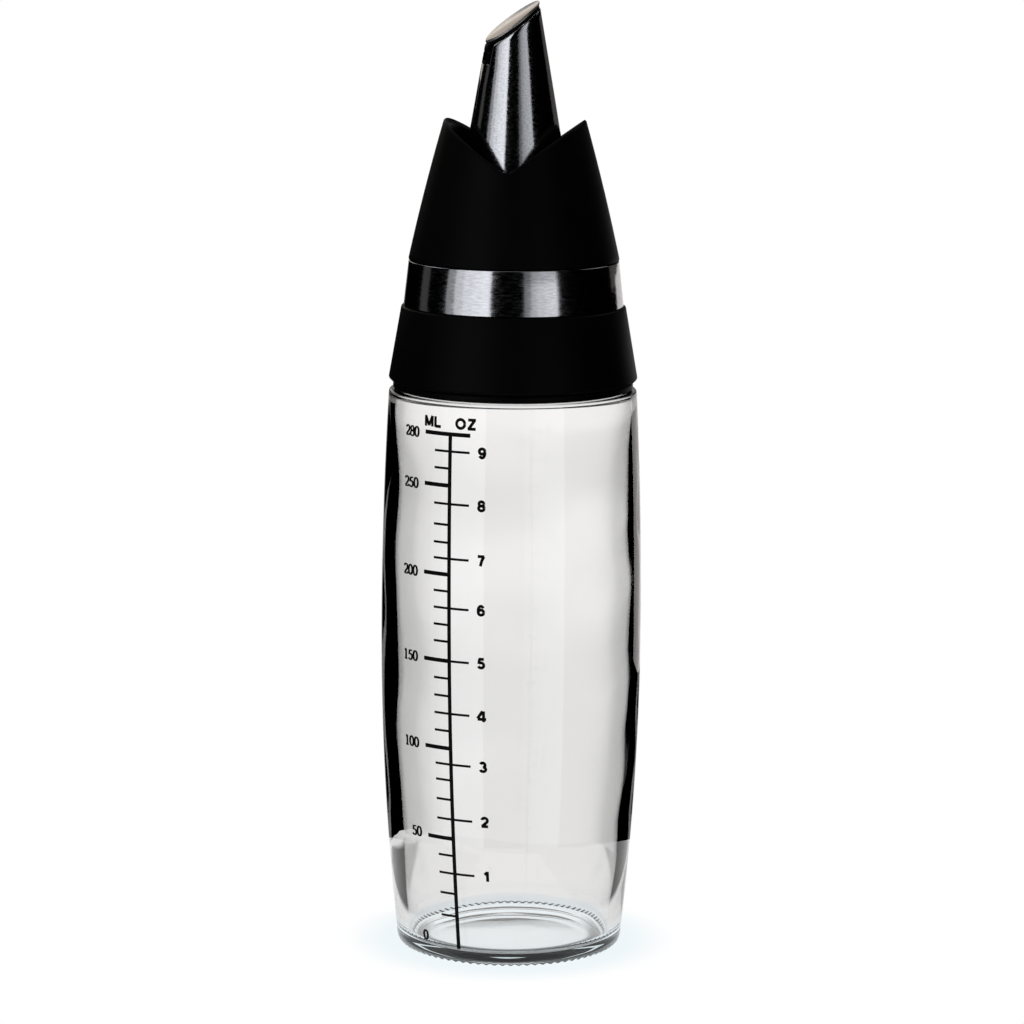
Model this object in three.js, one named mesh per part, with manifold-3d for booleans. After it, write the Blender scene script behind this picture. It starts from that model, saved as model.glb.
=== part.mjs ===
// Oil cruet: a graduated glass bottle and a screw-on pourer with a slanted spout, closed by a hinged flap.
// Millimetres, +Z up. The origin is the middle of the face that the bottle stands on.
// The spout's tip points to +X and its heel, with the flap's hinge, to -X.
import * as THREE from 'three';
import { mergeVertices } from 'three/addons/utils/BufferGeometryUtils.js';
import Module from 'manifold-3d';

const wasm = await Module();
wasm.setup();

// Fits
const SEAT_GAP = 0.2; // between faces that rest on one another or are pushed home
const RUN_GAP = 0.3; // between faces that turn past one another

// Glass bottle: a barrel that is widest at its belly, on a narrower foot
const BELLY_RADIUS = 31.1;
const BELLY_HEIGHT = 76;
const FOOT_INSET = 3.9; // belly to foot
const FOOT_HEIGHT = 3.2; // the height of the rounded heel
const BEARING_INSET = 1.6; // foot to the outer edge of the ring that touches the table
const BEARING_WIDTH = 4.2;
const PUSH_UP = 0.6; // the hollow under the bottle
const SHOULDER_INSET = 1.6; // belly to shoulder
const SHOULDER_HEIGHT = 134.7;
const SHOULDER_ROUND = 0.6;
const SHOULDER_LEDGE = 2.2; // the flat between the shoulder's edge and the collar
const COLLAR_HEIGHT = 0.7; // the collar inside the cap's rim
const NECK_SLOPE = 4.9; // how far the collar slants in to the neck, and as far up
const NECK_HEIGHT = 14.3;
const NECK_WALL = 3.2;
const LIP_ROUND = 0.9;
const GLASS_WALL = 3.2;
const GLASS_FLOOR = 1.9;
const INNER_HEEL = 4.6; // radius between the floor and the wall inside
const INNER_SHOULDER = 3; // radius between the wall and the shoulder inside
const SHOULDER_WALL = 1.6;

// Inner cap: screws on the neck and carries everything above it
const THREAD_DEPTH = 1.1;
const SLEEVE_WALL = 1.2;
const CAP_LIFT = 0.4; // the cap's rim above the glass shoulder
const RIM_HEIGHT = 1.5;
const RIM_INSET = 1.05; // the rim inside the skirt's lower edge
const RIM_ROUND = 0.3;
const BELL_WALL = 1; // the slanting wall between the rim and the sleeve
const GASKET_THICKNESS = 1.8;
const DECK_THICKNESS = 2;
const DECK_LEDGE = 1; // the deck inside the spout's seal
const RING_HEIGHT = 6; // the snap ring that holds the hood
const RING_WALL = 1.2;
const BEAD_DEPTH = 0.35;
const BEAD_RISE = 4.3; // the snap bead's middle above the deck
const BEAD_HALF_HEIGHT = 0.6;

// Skirt: the lower black cone
const SKIRT_WALL = 1.4;
const SKIRT_FLARE = 2.95; // how much wider it is below than above
const SKIRT_CHAMFER = 0.75;
const SKIRT_LIP = 3.2; // the width of the lip turned in at the top
const SKIRT_LIP_THICKNESS = 1.2;

// Steel band between the skirt and the hood
const BAND_HEIGHT = 10.6;
const BAND_STEP = 0.5; // the band inside the skirt's upper edge
const BAND_TAPER = 1.2;
const BAND_THICKNESS = 0.6;

// Hood: the upper black cone, cut to a V in front and behind
const HOOD_HEIGHT = 33.6;
const HOOD_OVERHANG = 0.1; // the hood past the band's upper edge
const HOOD_TAPER = 8.45;
const HOOD_BULGE = 0.3; // how far its side swells past a straight cone
const HOOD_WALL = 1.8;
const HOOD_FLOOR_RISE = 1.6; // the floor's underside above the hood's lower edge
const HOOD_FLOOR_THICKNESS = 1.8;
const HOOD_TURN = THREE.MathUtils.degToRad(-20);
const V_DEPTH = 12.1;
const PEAK_CUT = 0.4; // how far the two peaks stay below the full cone
const SPIGOT_WALL = 1.6;
const HOLD_DOWN_WALL = 1.5; // the sleeve that presses the spout's flange down

// Spout: a steel cone with a flange, cut off slanting at its mouth
const SPOUT_LENGTH = 69.4;
const SPOUT_TIP_RADIUS = 5.7;
const SPOUT_WALL = 0.8;
const FLANGE_MARGIN = 0.55; // the flange outside the hold-down sleeve
const FLANGE_THICKNESS = 0.8;
const SEAL_THICKNESS = 1;
const SEAL_WIDTH = 3.5;
const MOUTH_ANGLE = THREE.MathUtils.degToRad(36.2);

// Flap and hinge
const LINER_THICKNESS = 0.5;
const LINER_INSET = 0.2; // the liner inside the plate's edge
const PLATE_THICKNESS = 0.5;
const HEEL_CUT = 0.8; // the flap's straight edge, along the slope from the spout's heel
const HINGE_INSET = 2; // the hinge's axis inside the spout's outer face
const HINGE_DROP = 2; // the hinge's axis below the mouth
const KNUCKLE_RADIUS = 1.4;
const KNUCKLE_WIDTH = 3.2;
const WEB_THICKNESS = 2; // the web between the knuckle and the liner
const PIN_RADIUS = 0.5;
const PIN_RECESS = 0.3; // the pin's ends inside the hinge block's sides
const BLOCK_WIDTH = 6.6;
const BLOCK_BASE = 0.6; // the hinge block under the knuckle
const BLOCK_REACH = 1.5; // the hinge block inward of the pin's axis
const BLOCK_FLANGE = 0.9; // the hinge block behind the spout's wall, on each side
const CHEEK_DROP = 0.9; // the hinge block's top below the mouth

// Facets
const ROUND_SEGMENTS = 48;
const PIN_SEGMENTS = 24;
const CURVE_STEPS = 3;

// Radii of the bottle
const footRadius = BELLY_RADIUS - FOOT_INSET;
const bearingOuter = footRadius - BEARING_INSET;
const bearingInner = bearingOuter - BEARING_WIDTH;
const shoulderRadius = BELLY_RADIUS - SHOULDER_INSET;
const collarRadius = shoulderRadius - SHOULDER_LEDGE;
const neckRadius = collarRadius - NECK_SLOPE;
const mouthRadius = neckRadius - NECK_WALL;

// Radii of the pourer, from the neck outward and then in again
const capBore = neckRadius + THREAD_DEPTH + RUN_GAP;
const sleeveRadius = capBore + SLEEVE_WALL;
const skirtTopRadius = sleeveRadius + SEAT_GAP + SKIRT_WALL;
const skirtBottomRadius = skirtTopRadius + SKIRT_FLARE;
const rimRadius = skirtBottomRadius - RIM_INSET;
const bandBottomRadius = skirtTopRadius - BAND_STEP;
const bandTopRadius = bandBottomRadius - BAND_TAPER;
const hoodRadius = bandTopRadius + HOOD_OVERHANG;
const hoodTopRadius = hoodRadius - HOOD_TAPER;
const spigotRadius = skirtTopRadius - SKIRT_LIP - SEAT_GAP;
const spigotBore = spigotRadius - SPIGOT_WALL;
const ringRadius = spigotBore - SEAT_GAP;
const ringBore = ringRadius - RING_WALL;
const flangeRadius = ringBore - SEAT_GAP;
const spoutRadius = flangeRadius - FLANGE_MARGIN - HOLD_DOWN_WALL - RUN_GAP;
const sealBore = flangeRadius - SEAL_WIDTH;

// Heights in the pourer, counted from the bottle's shoulder
const rimTop = CAP_LIFT + RIM_HEIGHT;
const gasketBottom = NECK_HEIGHT + SEAT_GAP;
const gasketTop = gasketBottom + GASKET_THICKNESS;
const deckBottom = gasketTop + SEAT_GAP;
const deckTop = deckBottom + DECK_THICKNESS;
const ringTop = deckTop + RING_HEIGHT;
const beadHeight = deckTop + BEAD_RISE;
const skirtBottom = rimTop + SEAT_GAP;
const skirtLipBottom = deckTop + SEAT_GAP;
const skirtTop = skirtLipBottom + SKIRT_LIP_THICKNESS;
const bandBottom = skirtTop + SEAT_GAP;
const bandTop = bandBottom + BAND_HEIGHT;
const hoodBottom = bandTop + SEAT_GAP;
const hoodTop = hoodBottom + HOOD_HEIGHT;
const sealBottom = deckTop + SEAT_GAP;
const sealTop = sealBottom + SEAL_THICKNESS;
const flangeBottom = sealTop + SEAT_GAP;
const flangeTop = flangeBottom + FLANGE_THICKNESS;
const spoutTip = flangeTop + SPOUT_LENGTH;

// The spout's cone, and the slanting plane of its mouth through the tip
const spoutTaper = (spoutRadius - SPOUT_TIP_RADIUS) / SPOUT_LENGTH;
const slopeCos = Math.cos(MOUTH_ANGLE);
const slopeSin = Math.sin(MOUTH_ANGLE);
const slopeToAxis = slopeCos - spoutTaper * slopeSin;
const mouthLength = 2 * SPOUT_TIP_RADIUS / slopeToAxis;
const linerBottom = SEAT_GAP;
const linerTop = linerBottom + LINER_THICKNESS;
const plateBottom = linerTop + SEAT_GAP;
const plateTop = plateBottom + PLATE_THICKNESS;
const blankTop = spoutTip + plateTop / slopeCos + SPOUT_TIP_RADIUS;
const mouthFrame = new THREE.Matrix4()
  .makeRotationY(-MOUTH_ANGLE)
  .setPosition(SPOUT_TIP_RADIUS, 0, spoutTip);

// The hinge's axis lies along Y, inside the spout's heel and below its mouth
const hingeBelowTip = (slopeSin * (2 * SPOUT_TIP_RADIUS - HINGE_INSET) + HINGE_DROP) / slopeToAxis;
const hingeHeight = spoutTip - hingeBelowTip;
const hinge = new THREE.Vector3(HINGE_INSET - spoutOuter(hingeHeight), 0, hingeHeight);
const blockBottom = hingeHeight - KNUCKLE_RADIUS - RUN_GAP - BLOCK_BASE;
const slotHalfWidth = BLOCK_WIDTH / 2 + SEAT_GAP;

// Cutting blocks reach well past what they cut
const CUT_REACH = 2 * BELLY_RADIUS;

function spoutOuter(height) {
  return SPOUT_TIP_RADIUS + spoutTaper * (spoutTip - height);
}

// A closed mesh as a solid that can be joined and cut, without the flat triangles on a lathe's axis
function solid(geometry) {
  const bare = geometry.clone();
  bare.deleteAttribute('normal');
  bare.deleteAttribute('uv');
  const merged = mergeVertices(bare);
  const corners = merged.index.array;
  const triangles = [];
  for (let i = 0; i < corners.length; i += 3) {
    const [a, b, c] = corners.slice(i, i + 3);
    if (a !== b && b !== c && c !== a) triangles.push(a, b, c);
  }
  const vertProperties = new Float32Array(merged.attributes.position.array);
  const triVerts = new Uint32Array(triangles);
  return new wasm.Manifold(new wasm.Mesh({ numProp: 3, vertProperties, triVerts }));
}

// A profile in radius and height, turned round the Z axis with its faces outward
function turned(profile) {
  const points = profile.getPoints(CURVE_STEPS);
  if (THREE.ShapeUtils.area(points) < 0) points.reverse();
  const geometry = new THREE.LatheGeometry(points, ROUND_SEGMENTS);
  return solid(geometry.rotateX(Math.PI / 2));
}

// A straight-sided ring, from its corners in radius and height
function ring(corners) {
  const profile = new THREE.Path(corners.map(([radius, height]) => new THREE.Vector2(radius, height)));
  profile.closePath();
  return turned(profile);
}

function box(low, high) {
  const size = new THREE.Vector3().subVectors(high, low);
  const middle = new THREE.Vector3().addVectors(low, high).multiplyScalar(0.5);
  return new THREE.BoxGeometry(size.x, size.y, size.z).translate(middle.x, middle.y, middle.z);
}

// A round bar along Y on the hinge's axis
function hingeBar(radius, width) {
  const bar = new THREE.CylinderGeometry(radius, radius, width, PIN_SEGMENTS);
  return solid(bar.translate(hinge.x, hinge.y, hinge.z));
}

// A block in the mouth's own frame: along the slope from the tip, across, and out of the mouth
function mouthBlock(low, high) {
  return solid(box(low, high).applyMatrix4(mouthFrame));
}

function mouthSlab(from, to) {
  const low = new THREE.Vector3(-CUT_REACH, -CUT_REACH, from);
  const high = new THREE.Vector3(CUT_REACH, CUT_REACH, to);
  return mouthBlock(low, high);
}

// The spout's cone as a full solid, drawn in from its outer face by an inset
function spoutCone(inset) {
  return ring([
    [0, flangeTop],
    [spoutOuter(flangeTop) - inset, flangeTop],
    [spoutOuter(blankTop) - inset, blankTop],
    [0, blankTop],
  ]);
}

function bottleSolid() {
  const lip = SHOULDER_HEIGHT + NECK_HEIGHT;
  const shoulderStart = SHOULDER_HEIGHT - SHOULDER_ROUND;
  const floor = PUSH_UP + GLASS_FLOOR;
  const collarTop = SHOULDER_HEIGHT + COLLAR_HEIGHT;
  // Two long arcs meet upright at the belly, and the inner wall follows them one wall inside
  const lowerRise = BELLY_HEIGHT - FOOT_HEIGHT;
  const upperRise = shoulderStart - BELLY_HEIGHT;
  const lowerArc = (FOOT_INSET ** 2 + lowerRise ** 2) / (2 * FOOT_INSET);
  const upperArc = (SHOULDER_INSET ** 2 + upperRise ** 2) / (2 * SHOULDER_INSET);
  const lowerCentre = BELLY_RADIUS - lowerArc;
  const upperCentre = BELLY_RADIUS - upperArc;
  const innerLowerArc = lowerArc - GLASS_WALL;
  const innerUpperArc = upperArc - GLASS_WALL;
  // The shoulder slants in at 45 degrees inside as well, so its slant line has one sum of radius and height
  const eighth = Math.PI / 4;
  const innerSlant = collarRadius + collarTop - SHOULDER_WALL / Math.cos(eighth);
  const wallTop = innerSlant - shoulderRadius + GLASS_WALL - INNER_SHOULDER * Math.tan(eighth / 2);
  const innerUpperAngle = Math.asin((wallTop - BELLY_HEIGHT) / innerUpperArc);
  const innerLowerAngle = Math.asin((BELLY_HEIGHT - floor - INNER_HEEL) / innerLowerArc);
  const innerShoulderRadius = upperCentre + innerUpperArc * Math.cos(innerUpperAngle);
  const innerHeelRadius = lowerCentre + innerLowerArc * Math.cos(innerLowerAngle);
  const quarter = Math.PI / 2;

  const profile = new THREE.Path();
  profile.moveTo(0, PUSH_UP);
  profile.quadraticCurveTo(bearingInner / 2, PUSH_UP, bearingInner, 0);
  profile.lineTo(bearingOuter, 0);
  profile.quadraticCurveTo(footRadius, 0, footRadius, FOOT_HEIGHT);
  profile.absarc(lowerCentre, BELLY_HEIGHT, lowerArc, -Math.asin(lowerRise / lowerArc), 0);
  profile.absarc(upperCentre, BELLY_HEIGHT, upperArc, 0, Math.asin(upperRise / upperArc));
  profile.absarc(shoulderRadius - SHOULDER_ROUND, shoulderStart, SHOULDER_ROUND, 0, quarter);
  profile.lineTo(collarRadius, SHOULDER_HEIGHT);
  profile.lineTo(collarRadius, collarTop);
  profile.lineTo(neckRadius, collarTop + NECK_SLOPE);
  profile.absarc(neckRadius - LIP_ROUND, lip - LIP_ROUND, LIP_ROUND, 0, quarter);
  profile.absarc(mouthRadius + LIP_ROUND, lip - LIP_ROUND, LIP_ROUND, quarter, Math.PI);
  profile.lineTo(mouthRadius, innerSlant - mouthRadius);
  profile.absarc(innerShoulderRadius - INNER_SHOULDER, wallTop, INNER_SHOULDER, eighth, 0, true);
  profile.absarc(upperCentre, BELLY_HEIGHT, innerUpperArc, innerUpperAngle, 0, true);
  profile.absarc(lowerCentre, BELLY_HEIGHT, innerLowerArc, 0, -innerLowerAngle, true);
  profile.absarc(innerHeelRadius - INNER_HEEL, floor + INNER_HEEL, INNER_HEEL, 0, -quarter, true);
  profile.lineTo(0, floor);
  return turned(profile);
}

// The cap's bell runs one gap outside the bottle's slanted shoulder, and both slant lines are sums too
function innerCapSolid() {
  const rimBore = collarRadius + RUN_GAP;
  const innerSlant = collarRadius + COLLAR_HEIGHT + RUN_GAP * Math.SQRT2;
  const outerSlant = innerSlant + BELL_WALL * Math.SQRT2;

  const profile = new THREE.Path();
  profile.moveTo(capBore, innerSlant - capBore);
  profile.lineTo(rimBore, innerSlant - rimBore);
  profile.lineTo(rimBore, CAP_LIFT);
  profile.absarc(rimRadius - RIM_ROUND, CAP_LIFT + RIM_ROUND, RIM_ROUND, -Math.PI / 2, 0);
  profile.lineTo(rimRadius, rimTop);
  profile.lineTo(outerSlant - rimTop, rimTop);
  profile.lineTo(sleeveRadius, outerSlant - sleeveRadius);
  profile.lineTo(sleeveRadius, deckTop);
  profile.lineTo(ringRadius, deckTop);
  profile.lineTo(ringRadius, beadHeight - BEAD_HALF_HEIGHT);
  profile.lineTo(ringRadius + BEAD_DEPTH, beadHeight);
  profile.lineTo(ringRadius, beadHeight + BEAD_HALF_HEIGHT);
  profile.lineTo(ringRadius, ringTop);
  profile.lineTo(ringBore, ringTop);
  profile.lineTo(ringBore, deckTop);
  profile.lineTo(sealBore - DECK_LEDGE, deckTop);
  profile.lineTo(sealBore - DECK_LEDGE, deckBottom);
  profile.lineTo(capBore, deckBottom);
  profile.closePath();
  return turned(profile);
}

function gasketSolid() {
  const bore = mouthRadius + SEAT_GAP;
  const radius = capBore - RUN_GAP;
  return ring([[bore, gasketBottom], [radius, gasketBottom], [radius, gasketTop], [bore, gasketTop]]);
}

function skirtSolid() {
  const lipBore = skirtTopRadius - SKIRT_LIP;
  const slope = SKIRT_FLARE / (skirtTop - skirtBottom - SKIRT_CHAMFER);
  const innerTopRadius = skirtTopRadius + slope * SKIRT_LIP_THICKNESS - SKIRT_WALL;
  return ring([
    [skirtBottomRadius - SKIRT_WALL, skirtBottom],
    [skirtBottomRadius - SKIRT_CHAMFER, skirtBottom],
    [skirtBottomRadius, skirtBottom + SKIRT_CHAMFER],
    [skirtTopRadius, skirtTop],
    [lipBore, skirtTop],
    [lipBore, skirtLipBottom],
    [innerTopRadius, skirtLipBottom],
  ]);
}

function bandSolid() {
  return ring([
    [bandBottomRadius - BAND_THICKNESS, bandBottom],
    [bandBottomRadius, bandBottom],
    [bandTopRadius, bandTop],
    [bandTopRadius - BAND_THICKNESS, bandTop],
  ]);
}

// One moulding: the shell, its floor, the spigot inside the band and the sleeve round the spout
function hoodBlank() {
  const floorBottom = hoodBottom + HOOD_FLOOR_RISE;
  const floorTop = floorBottom + HOOD_FLOOR_THICKNESS;
  const sleeveBottom = flangeTop + SEAT_GAP;
  const bandInset = BAND_THICKNESS + SEAT_GAP;
  const middle = (hoodRadius + hoodTopRadius) / 2 + 2 * HOOD_BULGE;
  const middleHeight = (hoodBottom + hoodTop) / 2;
  const innerFoot = hoodRadius - HOOD_TAPER * (floorTop - hoodBottom) / HOOD_HEIGHT - HOOD_WALL;
  const spoutSide = (height) => spoutOuter(height) + RUN_GAP;

  const profile = new THREE.Path();
  profile.moveTo(hoodRadius, hoodBottom);
  profile.quadraticCurveTo(middle, middleHeight, hoodTopRadius, hoodTop);
  profile.lineTo(hoodTopRadius - HOOD_WALL, hoodTop);
  profile.quadraticCurveTo(middle - HOOD_WALL, middleHeight, innerFoot, floorTop);
  profile.lineTo(spoutSide(floorTop), floorTop);
  profile.lineTo(spoutSide(sleeveBottom), sleeveBottom);
  profile.lineTo(spoutSide(sleeveBottom) + HOLD_DOWN_WALL, sleeveBottom);
  profile.lineTo(spoutSide(floorBottom) + HOLD_DOWN_WALL, floorBottom);
  profile.lineTo(spigotBore, floorBottom);
  profile.lineTo(spigotBore, beadHeight + BEAD_HALF_HEIGHT);
  profile.lineTo(spigotBore + BEAD_DEPTH, beadHeight);
  profile.lineTo(spigotBore, beadHeight - BEAD_HALF_HEIGHT);
  profile.lineTo(spigotBore, deckTop + SEAT_GAP);
  profile.lineTo(spigotRadius, deckTop + SEAT_GAP);
  profile.lineTo(spigotRadius, bandBottom);
  profile.lineTo(bandBottomRadius - bandInset, bandBottom);
  profile.lineTo(bandTopRadius - bandInset, bandTop);
  profile.lineTo(bandTopRadius - bandInset, hoodBottom);
  profile.closePath();
  return turned(profile);
}

// The V runs right through the hood, so that it opens in front and behind and leaves two peaks
function hoodSolid() {
  const bottom = hoodTop - V_DEPTH;
  const slope = (V_DEPTH - PEAK_CUT) / hoodTopRadius;
  const side = bottom + slope * CUT_REACH;
  const outline = new THREE.Shape();
  outline.moveTo(0, bottom);
  outline.lineTo(CUT_REACH, side);
  outline.lineTo(-CUT_REACH, side);
  outline.closePath();
  const wedge = new THREE.ExtrudeGeometry(outline, { depth: 2 * CUT_REACH, bevelEnabled: false });
  wedge.rotateX(Math.PI / 2).translate(0, CUT_REACH, 0);
  return hoodBlank().subtract(solid(wedge));
}

function sealSolid() {
  return ring([
    [sealBore, sealBottom],
    [flangeRadius, sealBottom],
    [flangeRadius, sealTop],
    [sealBore, sealTop],
  ]);
}

function spoutSolid() {
  const blank = ring([
    [spoutRadius - SPOUT_WALL, flangeBottom],
    [flangeRadius, flangeBottom],
    [flangeRadius, flangeTop],
    [spoutRadius, flangeTop],
    [spoutOuter(blankTop), blankTop],
    [spoutOuter(blankTop) - SPOUT_WALL, blankTop],
  ]);
  const slotLow = new THREE.Vector3(-CUT_REACH, -slotHalfWidth, blockBottom - SEAT_GAP);
  const slotHigh = new THREE.Vector3(0, slotHalfWidth, blankTop);
  return blank.subtract(mouthSlab(0, CUT_REACH)).subtract(solid(box(slotLow, slotHigh)));
}

// Fills the spout's slot flush with its outer face, is held by a flange behind the wall and carries the pin
function hingeBlockSolid() {
  const inner = hinge.x + BLOCK_REACH;
  const half = BLOCK_WIDTH / 2;
  const flangeHalf = slotHalfWidth + BLOCK_FLANGE;
  const gapHalf = KNUCKLE_WIDTH / 2 + RUN_GAP;
  const top = new THREE.Vector3(inner, half, spoutTip);
  const face = solid(box(new THREE.Vector3(-CUT_REACH, -half, blockBottom), top));
  const flangeTopCorner = new THREE.Vector3(inner, flangeHalf, spoutTip);
  const flange = solid(box(new THREE.Vector3(-CUT_REACH, -flangeHalf, blockBottom), flangeTopCorner));
  const gapLow = new THREE.Vector3(-CUT_REACH, -gapHalf, hinge.z - KNUCKLE_RADIUS - RUN_GAP);
  const gap = solid(box(gapLow, new THREE.Vector3(CUT_REACH, gapHalf, spoutTip)));
  return face.intersect(spoutCone(0))
    .add(flange.intersect(spoutCone(SPOUT_WALL + SEAT_GAP)))
    .subtract(gap)
    .subtract(mouthSlab(-CHEEK_DROP, CUT_REACH))
    .subtract(hingeBar(PIN_RADIUS + SEAT_GAP, CUT_REACH));
}

// Everything past the flap's straight heel edge, which is cut away
function heelCut() {
  const edge = HEEL_CUT - mouthLength;
  const low = new THREE.Vector3(-CUT_REACH, -CUT_REACH, -CUT_REACH);
  return mouthBlock(low, new THREE.Vector3(edge, CUT_REACH, CUT_REACH));
}

function linerSolid() {
  const half = KNUCKLE_WIDTH / 2;
  const alongSlope = (hinge.x - SPOUT_TIP_RADIUS) * slopeCos + (hinge.z - spoutTip) * slopeSin;
  const webLow = new THREE.Vector3(alongSlope - WEB_THICKNESS / 2, -half, -HINGE_DROP);
  const webHigh = new THREE.Vector3(alongSlope + WEB_THICKNESS / 2, half, linerTop - LINER_THICKNESS / 2);
  const sheet = mouthSlab(linerBottom, linerTop).intersect(spoutCone(LINER_INSET)).subtract(heelCut());
  const knuckle = hingeBar(KNUCKLE_RADIUS, KNUCKLE_WIDTH).add(mouthBlock(webLow, webHigh));
  return sheet.add(knuckle.intersect(spoutCone(0)))
    .subtract(hingeBar(PIN_RADIUS + RUN_GAP, CUT_REACH));
}

function plateSolid() {
  return mouthSlab(plateBottom, plateTop).intersect(spoutCone(0)).subtract(heelCut());
}

function pinSolid() {
  return hingeBar(PIN_RADIUS, BLOCK_WIDTH - 2 * PIN_RECESS);
}

// Materials
const glass = new THREE.MeshStandardMaterial({
  color: 0xe6eeee, roughness: 0.04, metalness: 0, transparent: true, opacity: 0.35,
});
const blackPlastic = new THREE.MeshStandardMaterial({ color: 0x0a0a0b, roughness: 0.5, metalness: 0 });
const brushedSteel = new THREE.MeshStandardMaterial({ color: 0xc8c7c4, roughness: 0.32, metalness: 1 });
const silicone = new THREE.MeshStandardMaterial({ color: 0xd9d6cf, roughness: 0.7, metalness: 0 });

function named(name, part, material) {
  const mesh = part.getMesh();
  const geometry = new THREE.BufferGeometry();
  geometry.setAttribute('position', new THREE.BufferAttribute(mesh.vertProperties, 3));
  geometry.setIndex(new THREE.BufferAttribute(mesh.triVerts, 1));
  geometry.computeVertexNormals();
  const piece = new THREE.Mesh(geometry, material);
  piece.name = name;
  return piece;
}

// The flap hangs in its own group on the hinge's axis, so that turning the group about Y opens it
const flap = new THREE.Group();
flap.position.copy(hinge);
for (const piece of [
  named('flap_liner', linerSolid(), blackPlastic),
  named('flap_plate', plateSolid(), brushedSteel),
]) {
  piece.geometry.translate(-hinge.x, -hinge.y, -hinge.z);
  flap.add(piece);
}

const hood = named('hood', hoodSolid(), blackPlastic);
hood.rotation.z = HOOD_TURN;

const pourer = new THREE.Group();
pourer.position.z = SHOULDER_HEIGHT;
pourer.add(
  named('cap_gasket', gasketSolid(), silicone),
  named('inner_cap', innerCapSolid(), blackPlastic),
  named('skirt', skirtSolid(), blackPlastic),
  named('steel_band', bandSolid(), brushedSteel),
  hood,
  named('spout_seal', sealSolid(), silicone),
  named('spout', spoutSolid(), brushedSteel),
  named('hinge_block', hingeBlockSolid(), blackPlastic),
  named('hinge_pin', pinSolid(), brushedSteel),
  flap,
);

const cruet = new THREE.Group();
cruet.add(named('bottle', bottleSolid(), glass), pourer);

export default cruet;
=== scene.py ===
"""Dresses the oil cruet: a graduated glass bottle whose screw-on pourer has a spout closed by a flap.

Meshes are drawn in millimetres on the solids' own axes and are shrunk to metres when they are finished.
The spout's tip points to +X and its heel, with the flap's hinge, to -X.
"""
import math

import bmesh
import bpy
from bpy.props import FloatProperty, FloatVectorProperty, IntProperty, PointerProperty
from mathutils import Matrix, Vector


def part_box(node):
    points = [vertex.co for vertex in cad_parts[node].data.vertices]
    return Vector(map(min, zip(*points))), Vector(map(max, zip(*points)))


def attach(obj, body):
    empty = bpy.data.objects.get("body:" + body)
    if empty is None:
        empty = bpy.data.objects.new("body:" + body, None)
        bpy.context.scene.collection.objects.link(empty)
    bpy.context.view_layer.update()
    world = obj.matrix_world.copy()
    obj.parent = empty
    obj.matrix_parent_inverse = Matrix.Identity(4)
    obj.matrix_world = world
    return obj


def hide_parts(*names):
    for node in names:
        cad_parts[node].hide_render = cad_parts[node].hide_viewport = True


bl_info = {
    "name": "Oil cruet",
    "version": (1, 0, 0),
    "blender": (4, 5, 0),
    "location": "3D View > Sidebar > Cruet",
    "description": "Builds the finished oil cruet over its solids, with its stage",
    "category": "Object",
}

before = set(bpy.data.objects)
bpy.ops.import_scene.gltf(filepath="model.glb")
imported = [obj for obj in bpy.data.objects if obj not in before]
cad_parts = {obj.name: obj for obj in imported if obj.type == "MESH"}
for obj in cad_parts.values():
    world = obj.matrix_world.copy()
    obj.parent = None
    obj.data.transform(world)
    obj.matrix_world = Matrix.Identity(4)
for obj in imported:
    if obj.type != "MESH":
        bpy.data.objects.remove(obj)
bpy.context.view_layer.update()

MM = 0.001
FULL_TURN = 2 * math.pi


def span(node):
    """A solid's lowest and highest corner in millimetres."""
    low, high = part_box(node)
    return low / MM, high / MM


# Bottle
BOTTLE_HIGH = span("bottle")[1]
BELLY_RADIUS = BOTTLE_HIGH.x
BELLY_HEIGHT = 76.0
LIP = BOTTLE_HIGH.z
FOOT_INSET = 3.9
FOOT_RADIUS = BELLY_RADIUS - FOOT_INSET
FOOT_HEIGHT = 3.2
BEARING_OUTER = FOOT_RADIUS - 1.6
BEARING_INNER = BEARING_OUTER - 4.2
BEARING_FLAT = BEARING_OUTER - 0.5
PUSH_UP = 0.6
RIB_HEIGHT = 1.0
RIB_REACH = 0.8
GLASS_WALL = 3.2
GLASS_FLOOR = 2.5
INNER_HEEL = 2.6
INNER_SHOULDER = 3.0
SHOULDER = LIP - 14.3
SHOULDER_ROUND = 0.6
SHOULDER_INSET = 1.6
SHOULDER_RADIUS = BELLY_RADIUS - SHOULDER_INSET
SHOULDER_WALL = 1.6
COLLAR_RADIUS = SHOULDER_RADIUS - 2.2
COLLAR_TOP = SHOULDER + 0.7
COLLAR_EASE = 0.25
NECK_RADIUS = COLLAR_RADIUS - 4.9
NECK_BOTTOM = COLLAR_TOP + 4.9
NECK_EASE = 0.8
MOUTH_RADIUS = 19.2
THROAT_EASE = 2.0
LIP_ROUND = 0.9

# The shoulder slants in at 45 degrees, so a slant line has one sum of radius and height
INNER_SLANT = COLLAR_RADIUS + COLLAR_TOP - SHOULDER_WALL * math.sqrt(2)
WALL_TOP = INNER_SLANT - SHOULDER_RADIUS + GLASS_WALL - INNER_SHOULDER * math.tan(math.pi / 8)
THROAT_BOTTOM = INNER_SLANT - MOUTH_RADIUS - 1
SLANT_ROOM = 0.5

# The two long arcs of the bottle's side meet upright at the belly
SIDE_TOP = SHOULDER - SHOULDER_ROUND
LOWER_ARC = ((BELLY_HEIGHT - FOOT_HEIGHT) ** 2 + FOOT_INSET ** 2) / (2 * FOOT_INSET)
UPPER_ARC = ((SIDE_TOP - BELLY_HEIGHT) ** 2 + SHOULDER_INSET ** 2) / (2 * SHOULDER_INSET)

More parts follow.
